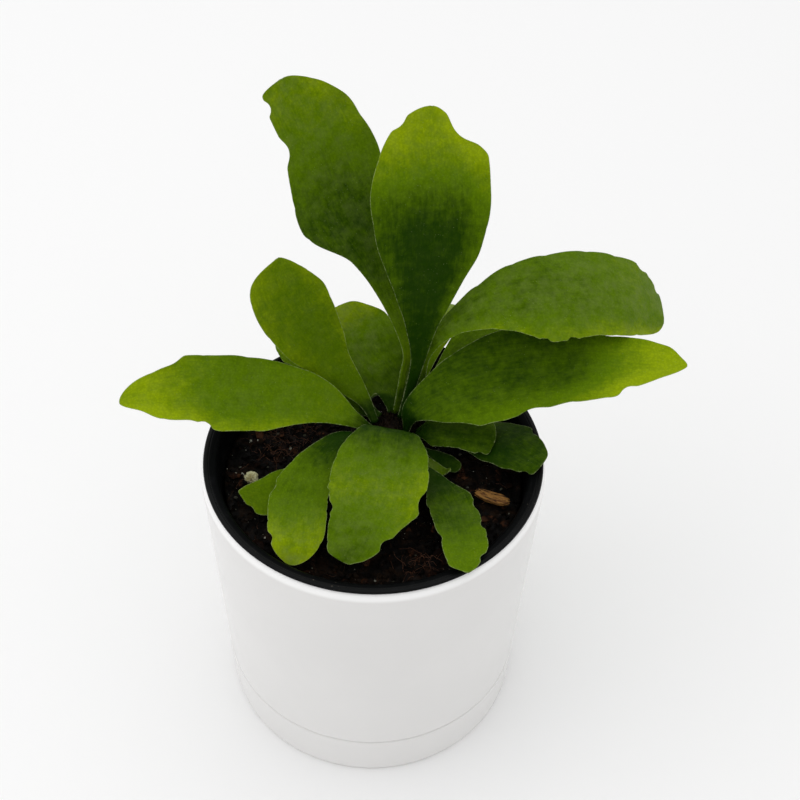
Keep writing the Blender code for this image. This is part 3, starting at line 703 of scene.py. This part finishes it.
crown = bmesh.new()
bmesh.ops.create_icosphere(crown, subdivisions=4, radius=1)
for vert in crown.verts:
    push = 0.97 - 0.08 * abs(noise.noise(vert.co * 2.3)) - 0.03 * abs(noise.noise(vert.co * 9.0))
    low = 0.45 if vert.co.z < 0 else 1
    shape = Vector((CROWN_RADII.x, CROWN_RADII.y, CROWN_RADII.z * low))
    vert.co = CROWN_CENTRE + Vector(vert.co[i] * shape[i] for i in range(3)) * push
chance = random.Random(31)
for _ in range(SCALES):
    bearing, climb = chance.uniform(0, 2 * math.pi), math.asin(chance.uniform(0.05, 1))
    out = Vector((math.cos(bearing) * math.cos(climb), math.sin(bearing) * math.cos(climb), math.sin(climb)))
    root = CROWN_CENTRE + Vector(out[i] * CROWN_RADII[i] for i in range(3)) * 0.93
    made = bmesh.ops.create_cone(crown, cap_ends=True, segments=5, radius1=SCALE_ROOT, radius2=SCALE_TIP,
                                 depth=chance.uniform(SCALE_SHORT, SCALE_LONG) * MM)
    bmesh.ops.scale(crown, verts=made["verts"], vec=(1, 0.3, 1))
    bmesh.ops.translate(crown, verts=made["verts"], vec=(0, 0, MM))
    lean_way = (out + 0.9 * Vector((chance.uniform(-1, 1), chance.uniform(-1, 1), 0.4))).normalized()
    leant = lean_way.to_track_quat("Z", "Y").to_matrix()
    bmesh.ops.rotate(crown, verts=made["verts"], cent=(0, 0, 0), matrix=leant)
    bmesh.ops.translate(crown, verts=made["verts"], vec=root)
into_scene(crown, "scaly_crown", rhizome_skin(), "rhizome", "fern_crown", smooth_under=60)

# ---------------------------------------------------------------------------------------------------------
# Fronds. Thick leathery blades on flat stalks, fed by fine forking veins and dusted with starry white
# hairs, which lie thickest along the margins and under the blade. Each is one blade along its midrib,
# with its own notches and wavy edges: deep green where it is old, yellow-green at the tip and margins,
# darker in painted shade near the crown and under other fronds, and grey-green where its hairs and a painted
# sheen lie.

STALK_GAP = 1.0
STATIONS = (0, 0.1, 0.22, 0.35, 0.5, 0.63, 0.75, 0.86, 0.94, 0.985)
BLADE_COLUMNS, BLADE_ROWS = 30, 130
MIDRIB_SAMPLES = 161
TIP_END = 0.9996  # share of the length where the mesh stops, so that the tip's last row keeps some width
BLADE_THICK = 1.7 * MM  # at the stalk; a blade is about two fifths of it, and its margin a tenth
DENT_SPREAD = 1.4  # how far past a dent's radius the blade is drawn in with it
TIP_TURN = 0.58  # share of a frond's length where its tip colour starts to show, if it has no turn of its own
SHADED_STALK = 0.6  # how much darker a stalk is painted where it leaves the crown: painted shade under the fronds

# Each frond: where its stalk leaves the crown (bearing and climb, in degrees), the points of its midrib in
# mm, and the way its upper face looks at base, middle and tip. left and right are its half-widths at the
# stations in mm, with the tip ahead. cup is how far its margins rise, as a share of the half-width.
# lobes is (how many along a margin, depth in mm); dents are (how far along, side, radius, depth) in mm.
# fresh is how yellow-green it is at base, middle and tip, then what the left and right margins add, lowered
# as painted shade near the crown and under other fronds; dusty is how much grey bloom it has at base, middle
# and tip, partly the hairs' own grey and partly painted sheen. turn replaces TIP_TURN on some fronds.
FRONDS = {
    "frond_back_left_tall": dict(
        bearing=85, climb=49,
        midrib=[(11, 31.5, 140), (12, 33, 155), (1, 43, 181), (-14, 57, 205), (-24, 67, 226), (-33, 74, 245)],
        faces=[(0.3, -1, 0.2), (0.35, -1, 0.3), (0.5, -1, 0.5)],
        left=(1.4, 1.4, 2.1, 3, 6.4, 17.4, 14, 10.8, 11, 10),
        right=(1.6, 1.6, 2, 5, 10, 18.5, 21.5, 19.5, 13.5, 6),
        cup=0.12, lobes=(8, 0.7), fresh_and_shade=(0.68, 0.05, 0.60, 0.05, 0.15), dusty_and_sheen=(0.2, 0.55, 0.9),
        dents=[(0.955, -1, 3, 1.9), (0.83, -1, 5, 1.2)],
    ),
    "frond_centre_tall": dict(
        bearing=40, climb=66,
        midrib=[(14, 25, 140), (17, 26, 160), (19, 31, 187), (20, 40, 212), (19, 49, 231), (19, 57, 246)],
        faces=[(0.1, -1, 0.2), (0.1, -1, 0.3), (0, -1, 0.5)],
        left=(1.8, 2, 2.6, 6.4, 13.5, 20, 22, 18.5, 13, 6.5),
        right=(1.8, 2, 2.6, 5, 12, 18.2, 20.5, 20, 9.6, 4.4),
        cup=0.1, lobes=(5, 0.3), fresh_and_shade=(-0.15, -0.08, 0.86, 0.14, 0.32), dusty_and_sheen=(0.05, 0.1, 0.55), turn=0.64,
        dents=[(0.955, -1, 4, 1.1), (0.94, 1, 7, 0.5)],
    ),
    "frond_right_upper": dict(
        bearing=17, climb=36,
        midrib=[(18, 28, 141), (20, 29, 155), (29, 29, 171), (47, 30, 183), (71, 34, 182), (93, 38, 174),
                (110, 41, 160)],
        faces=[(-0.6, -0.6, 0.3), (-0.2, -0.5, 1), (0, -0.4, 1)],
        left=(1.6, 1.6, 2, 4.2, 10.2, 15, 17.8, 18, 14.5, 10.5),
        right=(1.6, 1.6, 2, 5, 13, 19.5, 16.3, 13.5, 9, 5),
        cup=-0.1, lobes=(11, 0.7), fresh_and_shade=(0.25, 0.25, 0.5, 0.05, 0.35), dusty_and_sheen=(0.4, 0.9, 1.3),
        dents=[(0.60, 1, 2.2, 1.3), (0.68, 1, 2.4, 1.4), (0.90, -1, 2.5, 1.0), (0.97, -1, 2.0, 1.0)],
    ),
    "frond_right_lower": dict(
        bearing=-40, climb=49,
        midrib=[(14, 16, 138), (25, 18, 147), (39, 20, 152), (61, 20, 157), (89, 19, 161), (115, 16, 162)],
        faces=[(-0.3, -0.5, 1), (-0.2, -0.5, 1), (0, -0.1, 1)],
        left=(1.6, 3, 6.6, 12.4, 16.4, 14.8, 10.8, 9.4, 7.5, 3),
        right=(1.6, 5, 14, 20, 19, 16.2, 16.2, 11, 6, 2.4),
        cup=0.1, lobes=(6, 0.5), fresh_and_shade=(0.15, 0.12, 1.0, -0.1, 0.4), dusty_and_sheen=(0.1, 0.15, 0.1), turn=0.60,
        dents=[(0.82, 1, 4, 1.4), (0.52, 1, 7, 1.6)],
    ),
    "frond_left_upright": dict(
        bearing=165, climb=30,
        midrib=[(-4, 29, 130), (-13, 34, 145), (-23, 36, 163), (-31, 37, 181), (-35, 38, 193)],
        faces=[(0.2, -1, 0.5), (0.3, -1, 0.5), (0.4, -1, 0.8)],
        left=(1.6, 3, 7, 11, 15, 16.6, 17.6, 16.8, 14, 8.5),
        right=(1.6, 2, 3, 4, 8, 10, 11, 8.5, 5, 2),
        cup=0.12, lobes=(5, 0.3), fresh_and_shade=(0.35, 0.5, 0.6, 0.15, 0.15), dusty_and_sheen=(0.3, 0.3, 0.3),
        dents=[],
    ),
    "frond_left_low": dict(
        bearing=196, climb=25,
        midrib=[(-8, 17, 130), (-24, 18, 139), (-42, 16, 145), (-61, 13, 149), (-79, 9, 152), (-93, 5, 151)],
        faces=[(0.2, -0.5, 1), (0.2, -0.5, 1), (0, -0.4, 1)],
        left=(1.6, 2.8, 6.4, 11, 15, 15.8, 11.8, 10.5, 5, 2),
        right=(1.6, 3, 8, 11.5, 13.5, 14, 14, 8.5, 6, 3),
        cup=0.1, lobes=(6, 0.4), fresh_and_shade=(0.5, 0.4, 0.9, 0.3, 0.0), dusty_and_sheen=(0.3, 0.4, 0.3),
        dents=[(0.70, -1, 3, 1.6), (0.80, 1, 6, 0.8)],
    ),
    "frond_back_broad": dict(
        bearing=98, climb=12,
        midrib=[(8, 37, 126), (1, 43, 133), (-9, 54, 140), (-15, 62, 147)],
        faces=[(0.2, -0.7, 0.8), (0.2, -0.7, 0.8), (0.2, -0.7, 0.9)],
        left=(1.6, 6, 11, 15, 17, 17, 16, 15.5, 14, 11),
        right=(1.6, 3, 9, 13, 16, 16, 15.5, 13, 9.5, 6),
        cup=0.12, lobes=(4, 0.3), fresh_and_shade=(0.0, 0.25, 0.85, 0.0, 0.0), dusty_and_sheen=(0.2, 0.9, 1.6),
        dents=[],
    ),
    "frond_front_centre": dict(
        bearing=264, climb=25,
        midrib=[(6, 8, 134), (3, -7, 134), (1, -24, 133), (-5, -42, 132), (-9, -50, 128)],
        faces=[(0, 0.3, 1), (0, -0.2, 1), (0, -0.4, 1)],
        left=(1.6, 4, 12, 17, 18, 17, 12.5, 9.5, 6, 2),
        right=(1.6, 5, 11, 16, 18, 18, 14.5, 12, 10, 8),
        cup=0.04, lobes=(8, 0.6), fresh_and_shade=(-0.22, 0.55, 0.20, 0.15, 0.08), dusty_and_sheen=(0.15, 0.9, 0.8),
        dents=[(0.12, -1, 3, 1.6), (0.60, -1, 3.5, 1.8), (0.66, 1, 2.2, 0.8), (0.76, 1, 2.6, 1.0),
               (0.85, -1, 3, 1.6)],
    ),
    "frond_front_left": dict(
        bearing=240, climb=14,
        midrib=[(-11, 9, 128), (-21, -3, 128), (-27, -20, 127), (-28, -38, 126), (-29, -47, 123)],
        faces=[(0, 0.2, 1), (0, -0.2, 1), (0, -0.4, 1)],
        left=(1.4, 1.6, 2, 5, 9, 10.4, 11, 10.6, 7.4, 3.6),
        right=(1.4, 2, 4, 6, 9, 11, 10.6, 9.6, 7, 3),
        cup=0.1, lobes=(7, 0.6), fresh_and_shade=(-0.5, 0.3, 0.75, 0.1, 0.1), dusty_and_sheen=(0.0, 0.2, 1.2),
        dents=[(0.62, 1, 3, 1.2), (0.88, 1, 3, 1.0)],
    ),
    "frond_far_left_small": dict(
        bearing=219, climb=5,
        midrib=[(-9, 7, 121), (-20, 2, 122), (-33, -8, 122), (-42, -12, 121), (-50, -14, 124)],
        faces=[(0, 0.1, 1), (0, -0.2, 1), (0, -0.3, 1)],
        left=(1.2, 1.2, 1.5, 2, 5, 9, 11, 10, 6, 2),
        right=(1.2, 1.2, 1.5, 2, 3.5, 5, 6, 5, 3, 1),
        cup=0.1, lobes=(6, 0.6), fresh_and_shade=(0.1, 0.24, 0.52, 0.1, 0.1), dusty_and_sheen=(0.1, 0.1, 0.1),
        dents=[(0.80, -1, 2, 0.9), (0.93, -1, 2, 0.9)],
    ),
    "frond_front_right": dict(
        bearing=286, climb=10,
        midrib=[(16, 0, 124.5), (24, -9, 123.5), (29, -26, 126), (31, -44, 131), (33, -57, 133)],
        faces=[(0, 0.2, 1), (0, -0.2, 1), (0, -0.4, 1)],
        left=(1.4, 1.4, 2, 4, 9, 9.5, 10, 9.5, 6, 3),
        right=(1.4, 1.4, 3, 5, 8, 8, 7, 6.5, 6, 2),
        cup=0.12, lobes=(7, 0.6), fresh_and_shade=(-0.9, 0.15, 0.45, 0.05, 0.05), dusty_and_sheen=(0.1, 0.4, 0.1),
        dents=[(0.56, -1, 2.5, 1.0), (0.70, -1, 2.5, 1.2), (0.76, 1, 3, 0.9), (0.93, -1, 2, 0.8)],
    ),
    "frond_right_small": dict(
        bearing=334, climb=14,
        midrib=[(22, 14.5, 128.5), (30, 12, 131), (38, 9.5, 131.5), (46, 7, 130)],
        faces=[(0, -0.2, 1), (0, -0.3, 1), (0, -0.3, 1)],
        left=(1.4, 2.4, 5, 8, 9.5, 10, 9.5, 8.5, 6.5, 3),
        right=(1.4, 2, 5, 8, 8, 8, 8, 8, 7, 6),
        cup=-0.1, lobes=(5, 0.6), fresh_and_shade=(0.0, 0.05, 0.1, 0.1, 0.1), dusty_and_sheen=(0.1, 0.2, 0.2),
        dents=[(0.90, 1, 1.8, 1.0)],
    ),
    "frond_right_outer": dict(
        bearing=353, climb=10,
        midrib=[(25, 20, 125), (41, 10, 126.5), (53, 1, 130.5), (62.5, -7.5, 133)],
        faces=[(0, -0.2, 1), (0, -0.3, 1), (0, -0.3, 1)],
        left=(1.4, 1.6, 3, 6, 9.5, 12, 12.6, 9.6, 7, 4.5),
        right=(1.4, 1.4, 2, 4, 7, 8, 8, 7, 6, 5),
        cup=-0.1, lobes=(6, 0.6), fresh_and_shade=(0.0, -0.1, 0.05, 0.05, 0.05), dusty_and_sheen=(0.1, 0.1, 0.2),
        dents=[(0.80, -1, 2.2, 1.2), (0.93, 1, 2, 0.9)],
    ),
    "frond_young_curled": dict(
        bearing=303, climb=2,
        midrib=[(20, 5, 120), (26, -1, 120), (29, -3, 124)],
        faces=[(0, 0.2, 1), (0, 0, 1), (-0.8, 0.4, 0.6)],
        left=(1, 1, 1.2, 1.6, 2, 2.4, 2.4, 2, 1.5, 1),
        right=(1, 1, 1.2, 1.6, 2, 2.4, 2.4, 2, 1.5, 1),
        cup=0.25, lobes=(2, 0.1), fresh_and_shade=(0.2, 0.4, 0.5, 0, 0), dusty_and_sheen=(0.8, 1, 1), dents=[],
    ),
    "frond_young_round": dict(
        bearing=320, climb=2,
        midrib=[(24.5, 7.5, 119.4), (29.5, 3.8, 119.4), (33, 1.5, 119.4)],
        faces=[(0, 0, 1), (0, -0.2, 1), (0, -0.3, 1)],
        left=(1, 1, 1, 1.5, 2.5, 3, 3.4, 3, 2.5, 1.5),
        right=(1, 1, 1, 1.5, 2, 2.5, 3, 3, 2.5, 1.5),
        cup=0.1, lobes=(2, 0.1), fresh_and_shade=(-0.2, -0.2, -0.1, 0, 0), dusty_and_sheen=(0.1, 0.2, 0.2), dents=[],
    ),
    "frond_back_right": dict(
        bearing=38, climb=12,
        midrib=[(27, 38, 135), (42, 50, 142), (60, 60, 142), (78, 68, 133)],
        faces=[(0, -0.3, 1), (0, -0.3, 1), (0, -0.1, 1)],
        left=(1.6, 2, 3, 6, 10, 12, 12, 10, 7, 3),
        right=(1.6, 3, 5, 8, 11, 12, 11, 9, 6, 3),
        cup=0.1, lobes=(6, 0.5), fresh_and_shade=(0.1, 0.3, 0.6, 0.1, 0.1), dusty_and_sheen=(0.2, 0.3, 0.3),
        dents=[(0.72, 1, 3, 1.2)],
    ),
    "frond_back_drooping": dict(
        bearing=63, climb=9,
        midrib=[(19, 42, 134), (23.5, 62, 138), (25, 80, 132), (26, 92, 119)],
        faces=[(0, -0.3, 1), (0, 0, 1), (0, 0.8, 0.6)],
        left=(1.6, 2, 3, 6, 11, 13, 12, 10, 7, 3),
        right=(1.6, 2, 3, 5, 9, 11, 11, 10, 7, 3),
        cup=-0.1, lobes=(6, 0.5), fresh_and_shade=(0.2, 0.7, 0.6, 0.1, 0.1), dusty_and_sheen=(0.2, 0.3, 0.3),
        dents=[(0.80, -1, 3, 1.2)],
    ),
    "frond_back_left": dict(
        bearing=130, climb=12,
        midrib=[(-3, 31, 121), (-14, 39, 126), (-26, 48, 132), (-38, 57, 136)],
        faces=[(0.2, -0.5, 1), (0.2, -0.5, 1), (0.2, -0.3, 1)],
        left=(1.6, 3, 5, 7, 9, 9.5, 9, 8, 6, 3),
        right=(1.6, 3, 5, 7, 9, 9.5, 9, 8, 6, 3),
        cup=0.1, lobes=(5, 0.5), fresh_and_shade=(0.1, 0.3, 0.5, 0.1, 0.1), dusty_and_sheen=(0.2, 0.3, 0.3),
        dents=[(0.75, -1, 3, 1.2)],
    ),
}

DEEP_GREEN = (0.0055, 0.0280, 0.0005)
LEAF_GREEN = (0.0880, 0.1660, 0.0010)
FRESH_GREEN = (0.2550, 0.3500, 0.0020)
# The grey bloom colour is partly the hairs' own grey and partly a painted sheen.
DUST_AND_SHEEN = (0.1500, 0.2050, 0.0480)
HAIR_WHITE = (0.40, 0.46, 0.22)
PEBBLE_GREEN = (0.008, 0.024, 0.0004)


def spread_evenly(points, samples):
    """A Catmull-Rom curve through the points, as samples spaced evenly along it, and its length."""
    ends = [2 * points[0] - points[1], *points, 2 * points[-1] - points[-2]]
    fine = []
    for a, b, c, d in zip(ends, ends[1:], ends[2:], ends[3:]):
        for step in range(40):
            k = step / 40
            fine.append(0.5 * (2 * b + (c - a) * k + (2 * a - 5 * b + 4 * c - d) * k * k
                               + (3 * b - a - 3 * c + d) * k ** 3))
    fine.append(points[-1])
    steps = [0.0] + [(after - before).length for before, after in zip(fine, fine[1:])]
    along = np.cumsum(steps)
    goals = np.linspace(0, along[-1], samples)
    flat = np.array([tuple(p) for p in fine])
    even = np.column_stack([np.interp(goals, along, flat[:, i]) for i in range(3)])
    return [Vector(row) for row in even], along[-1]


def half_width(share, widths):
    """A blade's half-width in mm at a share of its length: a smooth curve that closes in a round tip."""
    far = [math.sqrt(1 - station) for station in (*STATIONS, 1)][::-1]
    tall = (*widths, 0)[::-1]
    here = math.sqrt(max(0, 1 - share))
    i = min(len(far) - 2, max(0, int(np.searchsorted(far, here)) - 1))
    span = far[i + 1] - far[i]
    k = (here - far[i]) / span

    def slope(j):
        rises = [(tall[m + 1] - tall[m]) / (far[m + 1] - far[m]) for m in (j - 1, j) if 0 <= m < len(far) - 1]
        if j == 0:
            return rises[0]
        if len(rises) < 2 or rises[0] * rises[1] <= 0:
            return 0
        return 2 * rises[0] * rises[1] / (rises[0] + rises[1])

    return max(0.02, (2 * k ** 3 - 3 * k * k + 1) * tall[i] + (k ** 3 - 2 * k * k + k) * span * slope(i)
               + (3 * k * k - 2 * k ** 3) * tall[i + 1] + (k ** 3 - k * k) * span * slope(i + 1))


def eased(value, low, high):
    k = min(1, max(0, (value - low) / (high - low)))
    return k * k * (3 - 2 * k)


def three_way(share, base, middle, tip, turn):
    """A value read from base through middle to tip. The tip's share starts at the turn."""
    if share < turn:
        return base + (middle - base) * eased(share, 0.05, 0.55)
    return middle + (tip - middle) * eased(share, turn, 0.97)


def blade(name, shape, seed):
    """One frond: a grid laid flat to its outline, dented, then bent along its midrib."""
    climb, bearing = math.radians(shape["climb"]), math.radians(shape["bearing"])
    way = Vector((math.cos(climb) * math.cos(bearing), math.cos(climb) * math.sin(bearing), math.sin(climb)))
    reach = CROWN_RADII / MM + Vector((STALK_GAP,) * 3)
    root = CROWN_CENTRE / MM + Vector(way[i] * reach[i] for i in range(3))
    spine, length = spread_evenly([root, *map(Vector, shape["midrib"])], MIDRIB_SAMPLES)
    base_face, middle_face, tip_face = map(Vector, shape["faces"])
    widths = {-1: shape["left"], 1: shape["right"]}
    lobe_count, lobe_depth = shape["lobes"]

    def edge(share, sign):
        """The margin's distance from the midrib, with its lobes."""
        width = half_width(share, widths[sign])
        beat = lobe_count * share + 0.5 * noise.noise(Vector((share * 6, sign, seed))) + 0.31 * seed
        dent = lobe_depth * (1 - abs(math.sin(math.pi * beat))) ** 3
        wander = lobe_depth * 0.5 * noise.noise(Vector((share * 14, sign * 3, seed + 9)))
        return max(0.02, width - (0.6 * dent - wander) * eased(width, 3, 9) * eased(1 - share, 0, 0.06))

    dents = []
    for share, sign, radius, depth in shape["dents"]:
        here, next_to = edge(share, sign), edge(share + 0.01, sign)
        out = Vector((1, (here - next_to) / (0.01 * length))).normalized()
        centre = Vector((here, share * length)) + out * (radius - depth)
        dents.append((Vector((centre.x * sign, centre.y)), radius))
    mesh = bmesh.new()
    veins = mesh.loops.layers.uv.new("veins")
    fresh_and_shade_layer = mesh.verts.layers.float.new("fresh_and_shade")
    dusty_and_sheen_layer = mesh.verts.layers.float.new("dusty_and_sheen")
    margin_layer = mesh.verts.layers.float.new("margin")
    bmesh.ops.create_grid(mesh, x_segments=BLADE_COLUMNS, y_segments=BLADE_ROWS, size=1)
    flat, shares = {}, {}
    for vert in mesh.verts:
        side = math.copysign(1 - (1 - abs(vert.co.x)) ** 1.5, vert.co.x)
        share = min(TIP_END, 1 - (0.5 - 0.5 * vert.co.y) ** 1.6)
        spot = Vector((side * edge(share, -1 if side < 0 else 1), share * length))
        for centre, radius in dents:
            away = spot - centre
            reach = away.length / radius / DENT_SPREAD
            if reach < 1:
                spot = centre + away.normalized() * radius * (1 + (DENT_SPREAD - 1) * reach ** 3)
        flat[vert], shares[vert] = spot, (side, share)
    rim = [vert for vert in mesh.verts if vert.is_boundary and shares[vert][1] > 0.01]
    tree = kdtree.KDTree(len(rim))
    for i, vert in enumerate(rim):
        tree.insert((*flat[vert], 0), i)
    tree.balance()
    fresh_and_shade, dusty_and_sheen = shape["fresh_and_shade"], shape["dusty_and_sheen"]
    for vert in mesh.verts:
        side, share = shares[vert]
        sign = -1 if side < 0 else 1
        margin = tree.find((*flat[vert], 0))[2]
        band = eased(abs(side), 0.35, 1.0) * eased(share, 0.15, 0.5)
        turn = shape.get("turn", TIP_TURN)
        shade = SHADED_STALK * (1 - eased(share, 0.03, 0.18))
        # A margin's value can be lowered here as painted shade, where another frond lies over it.
        margin_fresh_and_shade = (fresh_and_shade[3] if sign < 0 else fresh_and_shade[4]) * band
        vert[fresh_and_shade_layer] = three_way(share, *fresh_and_shade[:3], turn) + margin_fresh_and_shade - shade
        vert[dusty_and_sheen_layer] = three_way(share, *dusty_and_sheen, turn) * (1 - 0.5 * side * side)
        vert[margin_layer] = margin
        spot = flat[vert]
        along = min(TIP_END, max(0, spot.y / length))
        last = MIDRIB_SAMPLES - 1
        at = min(last - 1, int(along * last))
        centre = spine[at].lerp(spine[at + 1], along * last - at)
        ahead = (spine[min(at + 2, last)] - spine[max(at - 1, 0)]).normalized()
        if along < 0.5:
            face = base_face.lerp(middle_face, 2 * along)
        else:
            face = middle_face.lerp(tip_face, 2 * along - 1)
        up = (face - ahead * face.dot(ahead)).normalized()
        across = ahead.cross(up)
        width = max(half_width(along, widths[sign]), 0.5)
        swell = 0.55 * noise.noise(Vector((spot.x * 0.05, spot.y * 0.05, seed * 3.1)))
        ruffle = 1.1 * noise.noise(Vector((spot.y * 0.11, sign * 4.0, seed * 1.7))) * side * side
        vein = 0.05 * noise.noise(Vector((side * 16, along * 2.2, seed)))
        lift = shape["cup"] * side * side * width + (swell + ruffle) * eased(width, 2, 9) + vein
        vert.co = (centre + across * spot.x + up * lift) * MM
    for face in mesh.faces:
        for loop in face.loops:
            side, share = shares[loop.vert]
            loop[veins].uv = (side * (4 + 0.6 * half_width(share, widths[-1 if side < 0 else 1])) * 0.01,
                              share * length * 0.01)
    thickness = {}
    for vert in mesh.verts:
        side, share = shares[vert]
        body = 1 - 0.62 * eased(share, 0.05, 0.35)
        margin_thin = 1 - 0.75 * eased(abs(side), 0.5, 1.0)
        thickness[vert.index] = body * margin_thin * (1 - 0.4 * eased(share, 0.9, 1))
    piece = into_scene(mesh, name.replace("frond", "blade"), BLADE_UPPER, "frond", name, smooth_under=180)
    piece.data.materials.append(BLADE_UNDER)
    group = piece.vertex_groups.new(name="thickness")
    for index, value in thickness.items():
        group.add([index], value, "REPLACE")
    thick = piece.modifiers.new("blade_thickness", "SOLIDIFY")
    thick.thickness = BLADE_THICK
    thick.offset = 0
    thick.vertex_group = "thickness"
    thick.material_offset = 1


def frond_skin(name, felt):
    """A blade's skin. felt is how thick the coat of pale hairs lies: little above, much below."""
    skin = Skin(name)
    uv = skin.tree.nodes.new("ShaderNodeUVMap")
    uv.uv_map = "veins"
    fork = skin.noise(14, 3, 0.55, vector=skin.mapped((9, 1.0, 1), uv.outputs["UV"]), distortion=0.5)
    fine = skin.noise(30, 3, 0.6, vector=skin.mapped((11, 1.4, 1), uv.outputs["UV"]), distortion=0.8)
    cloud = skin.noise(75, 4, 0.55)
    mottle = skin.noise(330, 4, 0.65)
    fresh_and_shade = skin.attribute("fresh_and_shade")
    for texture, amount in ((fork, 0.26), (fine, 0.14), (cloud, 0.34), (mottle, 0.50)):
        fresh_and_shade = skin.maths("ADD", fresh_and_shade, skin.maths("MULTIPLY", skin.maths("SUBTRACT", texture, 0.5), amount))
    # Low values give the painted shade near the crown and under other fronds.
    green = skin.mix(skin.ramp(fresh_and_shade, -0.15, 0.5), DEEP_GREEN, LEAF_GREEN)
    green = skin.mix(skin.ramp(fresh_and_shade, 0.42, 1.05), green, FRESH_GREEN)
    pebble = skin.cells(1150)
    green = skin.mix(skin.ramp(pebble, 0.30, 0.62, 0.0, 0.14), green, PEBBLE_GREEN)
    # Grey bloom: partly the hairs' real felt, partly a painted sheen.
    dust_and_sheen = skin.maths("MULTIPLY", skin.attribute("dusty_and_sheen"), skin.ramp(skin.noise(210, 5, 0.7), 0.35, 0.75))
    dust_and_sheen = skin.maths("ADD", skin.maths("MULTIPLY", dust_and_sheen, 0.42), felt)
    green = skin.mix(dust_and_sheen, green, DUST_AND_SHEEN)
    star = skin.ramp(skin.cells(980), 0.05, 0.13, 1.0, 0.0)
    star = skin.maths("MULTIPLY", star, skin.ramp(skin.noise(170, 4, 0.7), 0.44, 0.62))
    green = skin.mix(skin.maths("MULTIPLY", star, 0.42), green, HAIR_WHITE)
    edge = skin.ramp(skin.attribute("margin"), 0.02, 0.32, 1.0, 0.0)
    edge = skin.maths("MULTIPLY", edge, skin.ramp(skin.noise(900, 2), 0.35, 0.65, 0.05, 0.45))
    skin.set(Base_Color=skin.mix(edge, green, HAIR_WHITE))
    gloss = skin.ramp(skin.noise(240, 3), 0.3, 0.7, 0.44, 0.60)
    skin.set(Roughness=skin.maths("MAXIMUM", gloss, skin.maths("MULTIPLY", dust_and_sheen, 1.2)))
    skin.set(Specular_IOR_Level=0.10, Sheen_Weight=0.4 * felt, Sheen_Roughness=0.5)
    skin.set(Specular_Tint=(0.80, 1.0, 0.12))
    skin.bump((fork, 0.20, 0.30 * MM), (fine, 0.10, 0.15 * MM), (mottle, 0.75, 0.55 * MM),
              (pebble, 0.12, 0.12 * MM), (star, 0.4, 0.1 * MM))
    return skin.material


BLADE_UPPER = frond_skin("frond_upper_face", 0.0)
BLADE_UNDER = frond_skin("frond_under_face", 0.28)
for seed, (frond_name, frond_shape) in enumerate(FRONDS.items()):
    blade(frond_name, frond_shape, seed + 1)
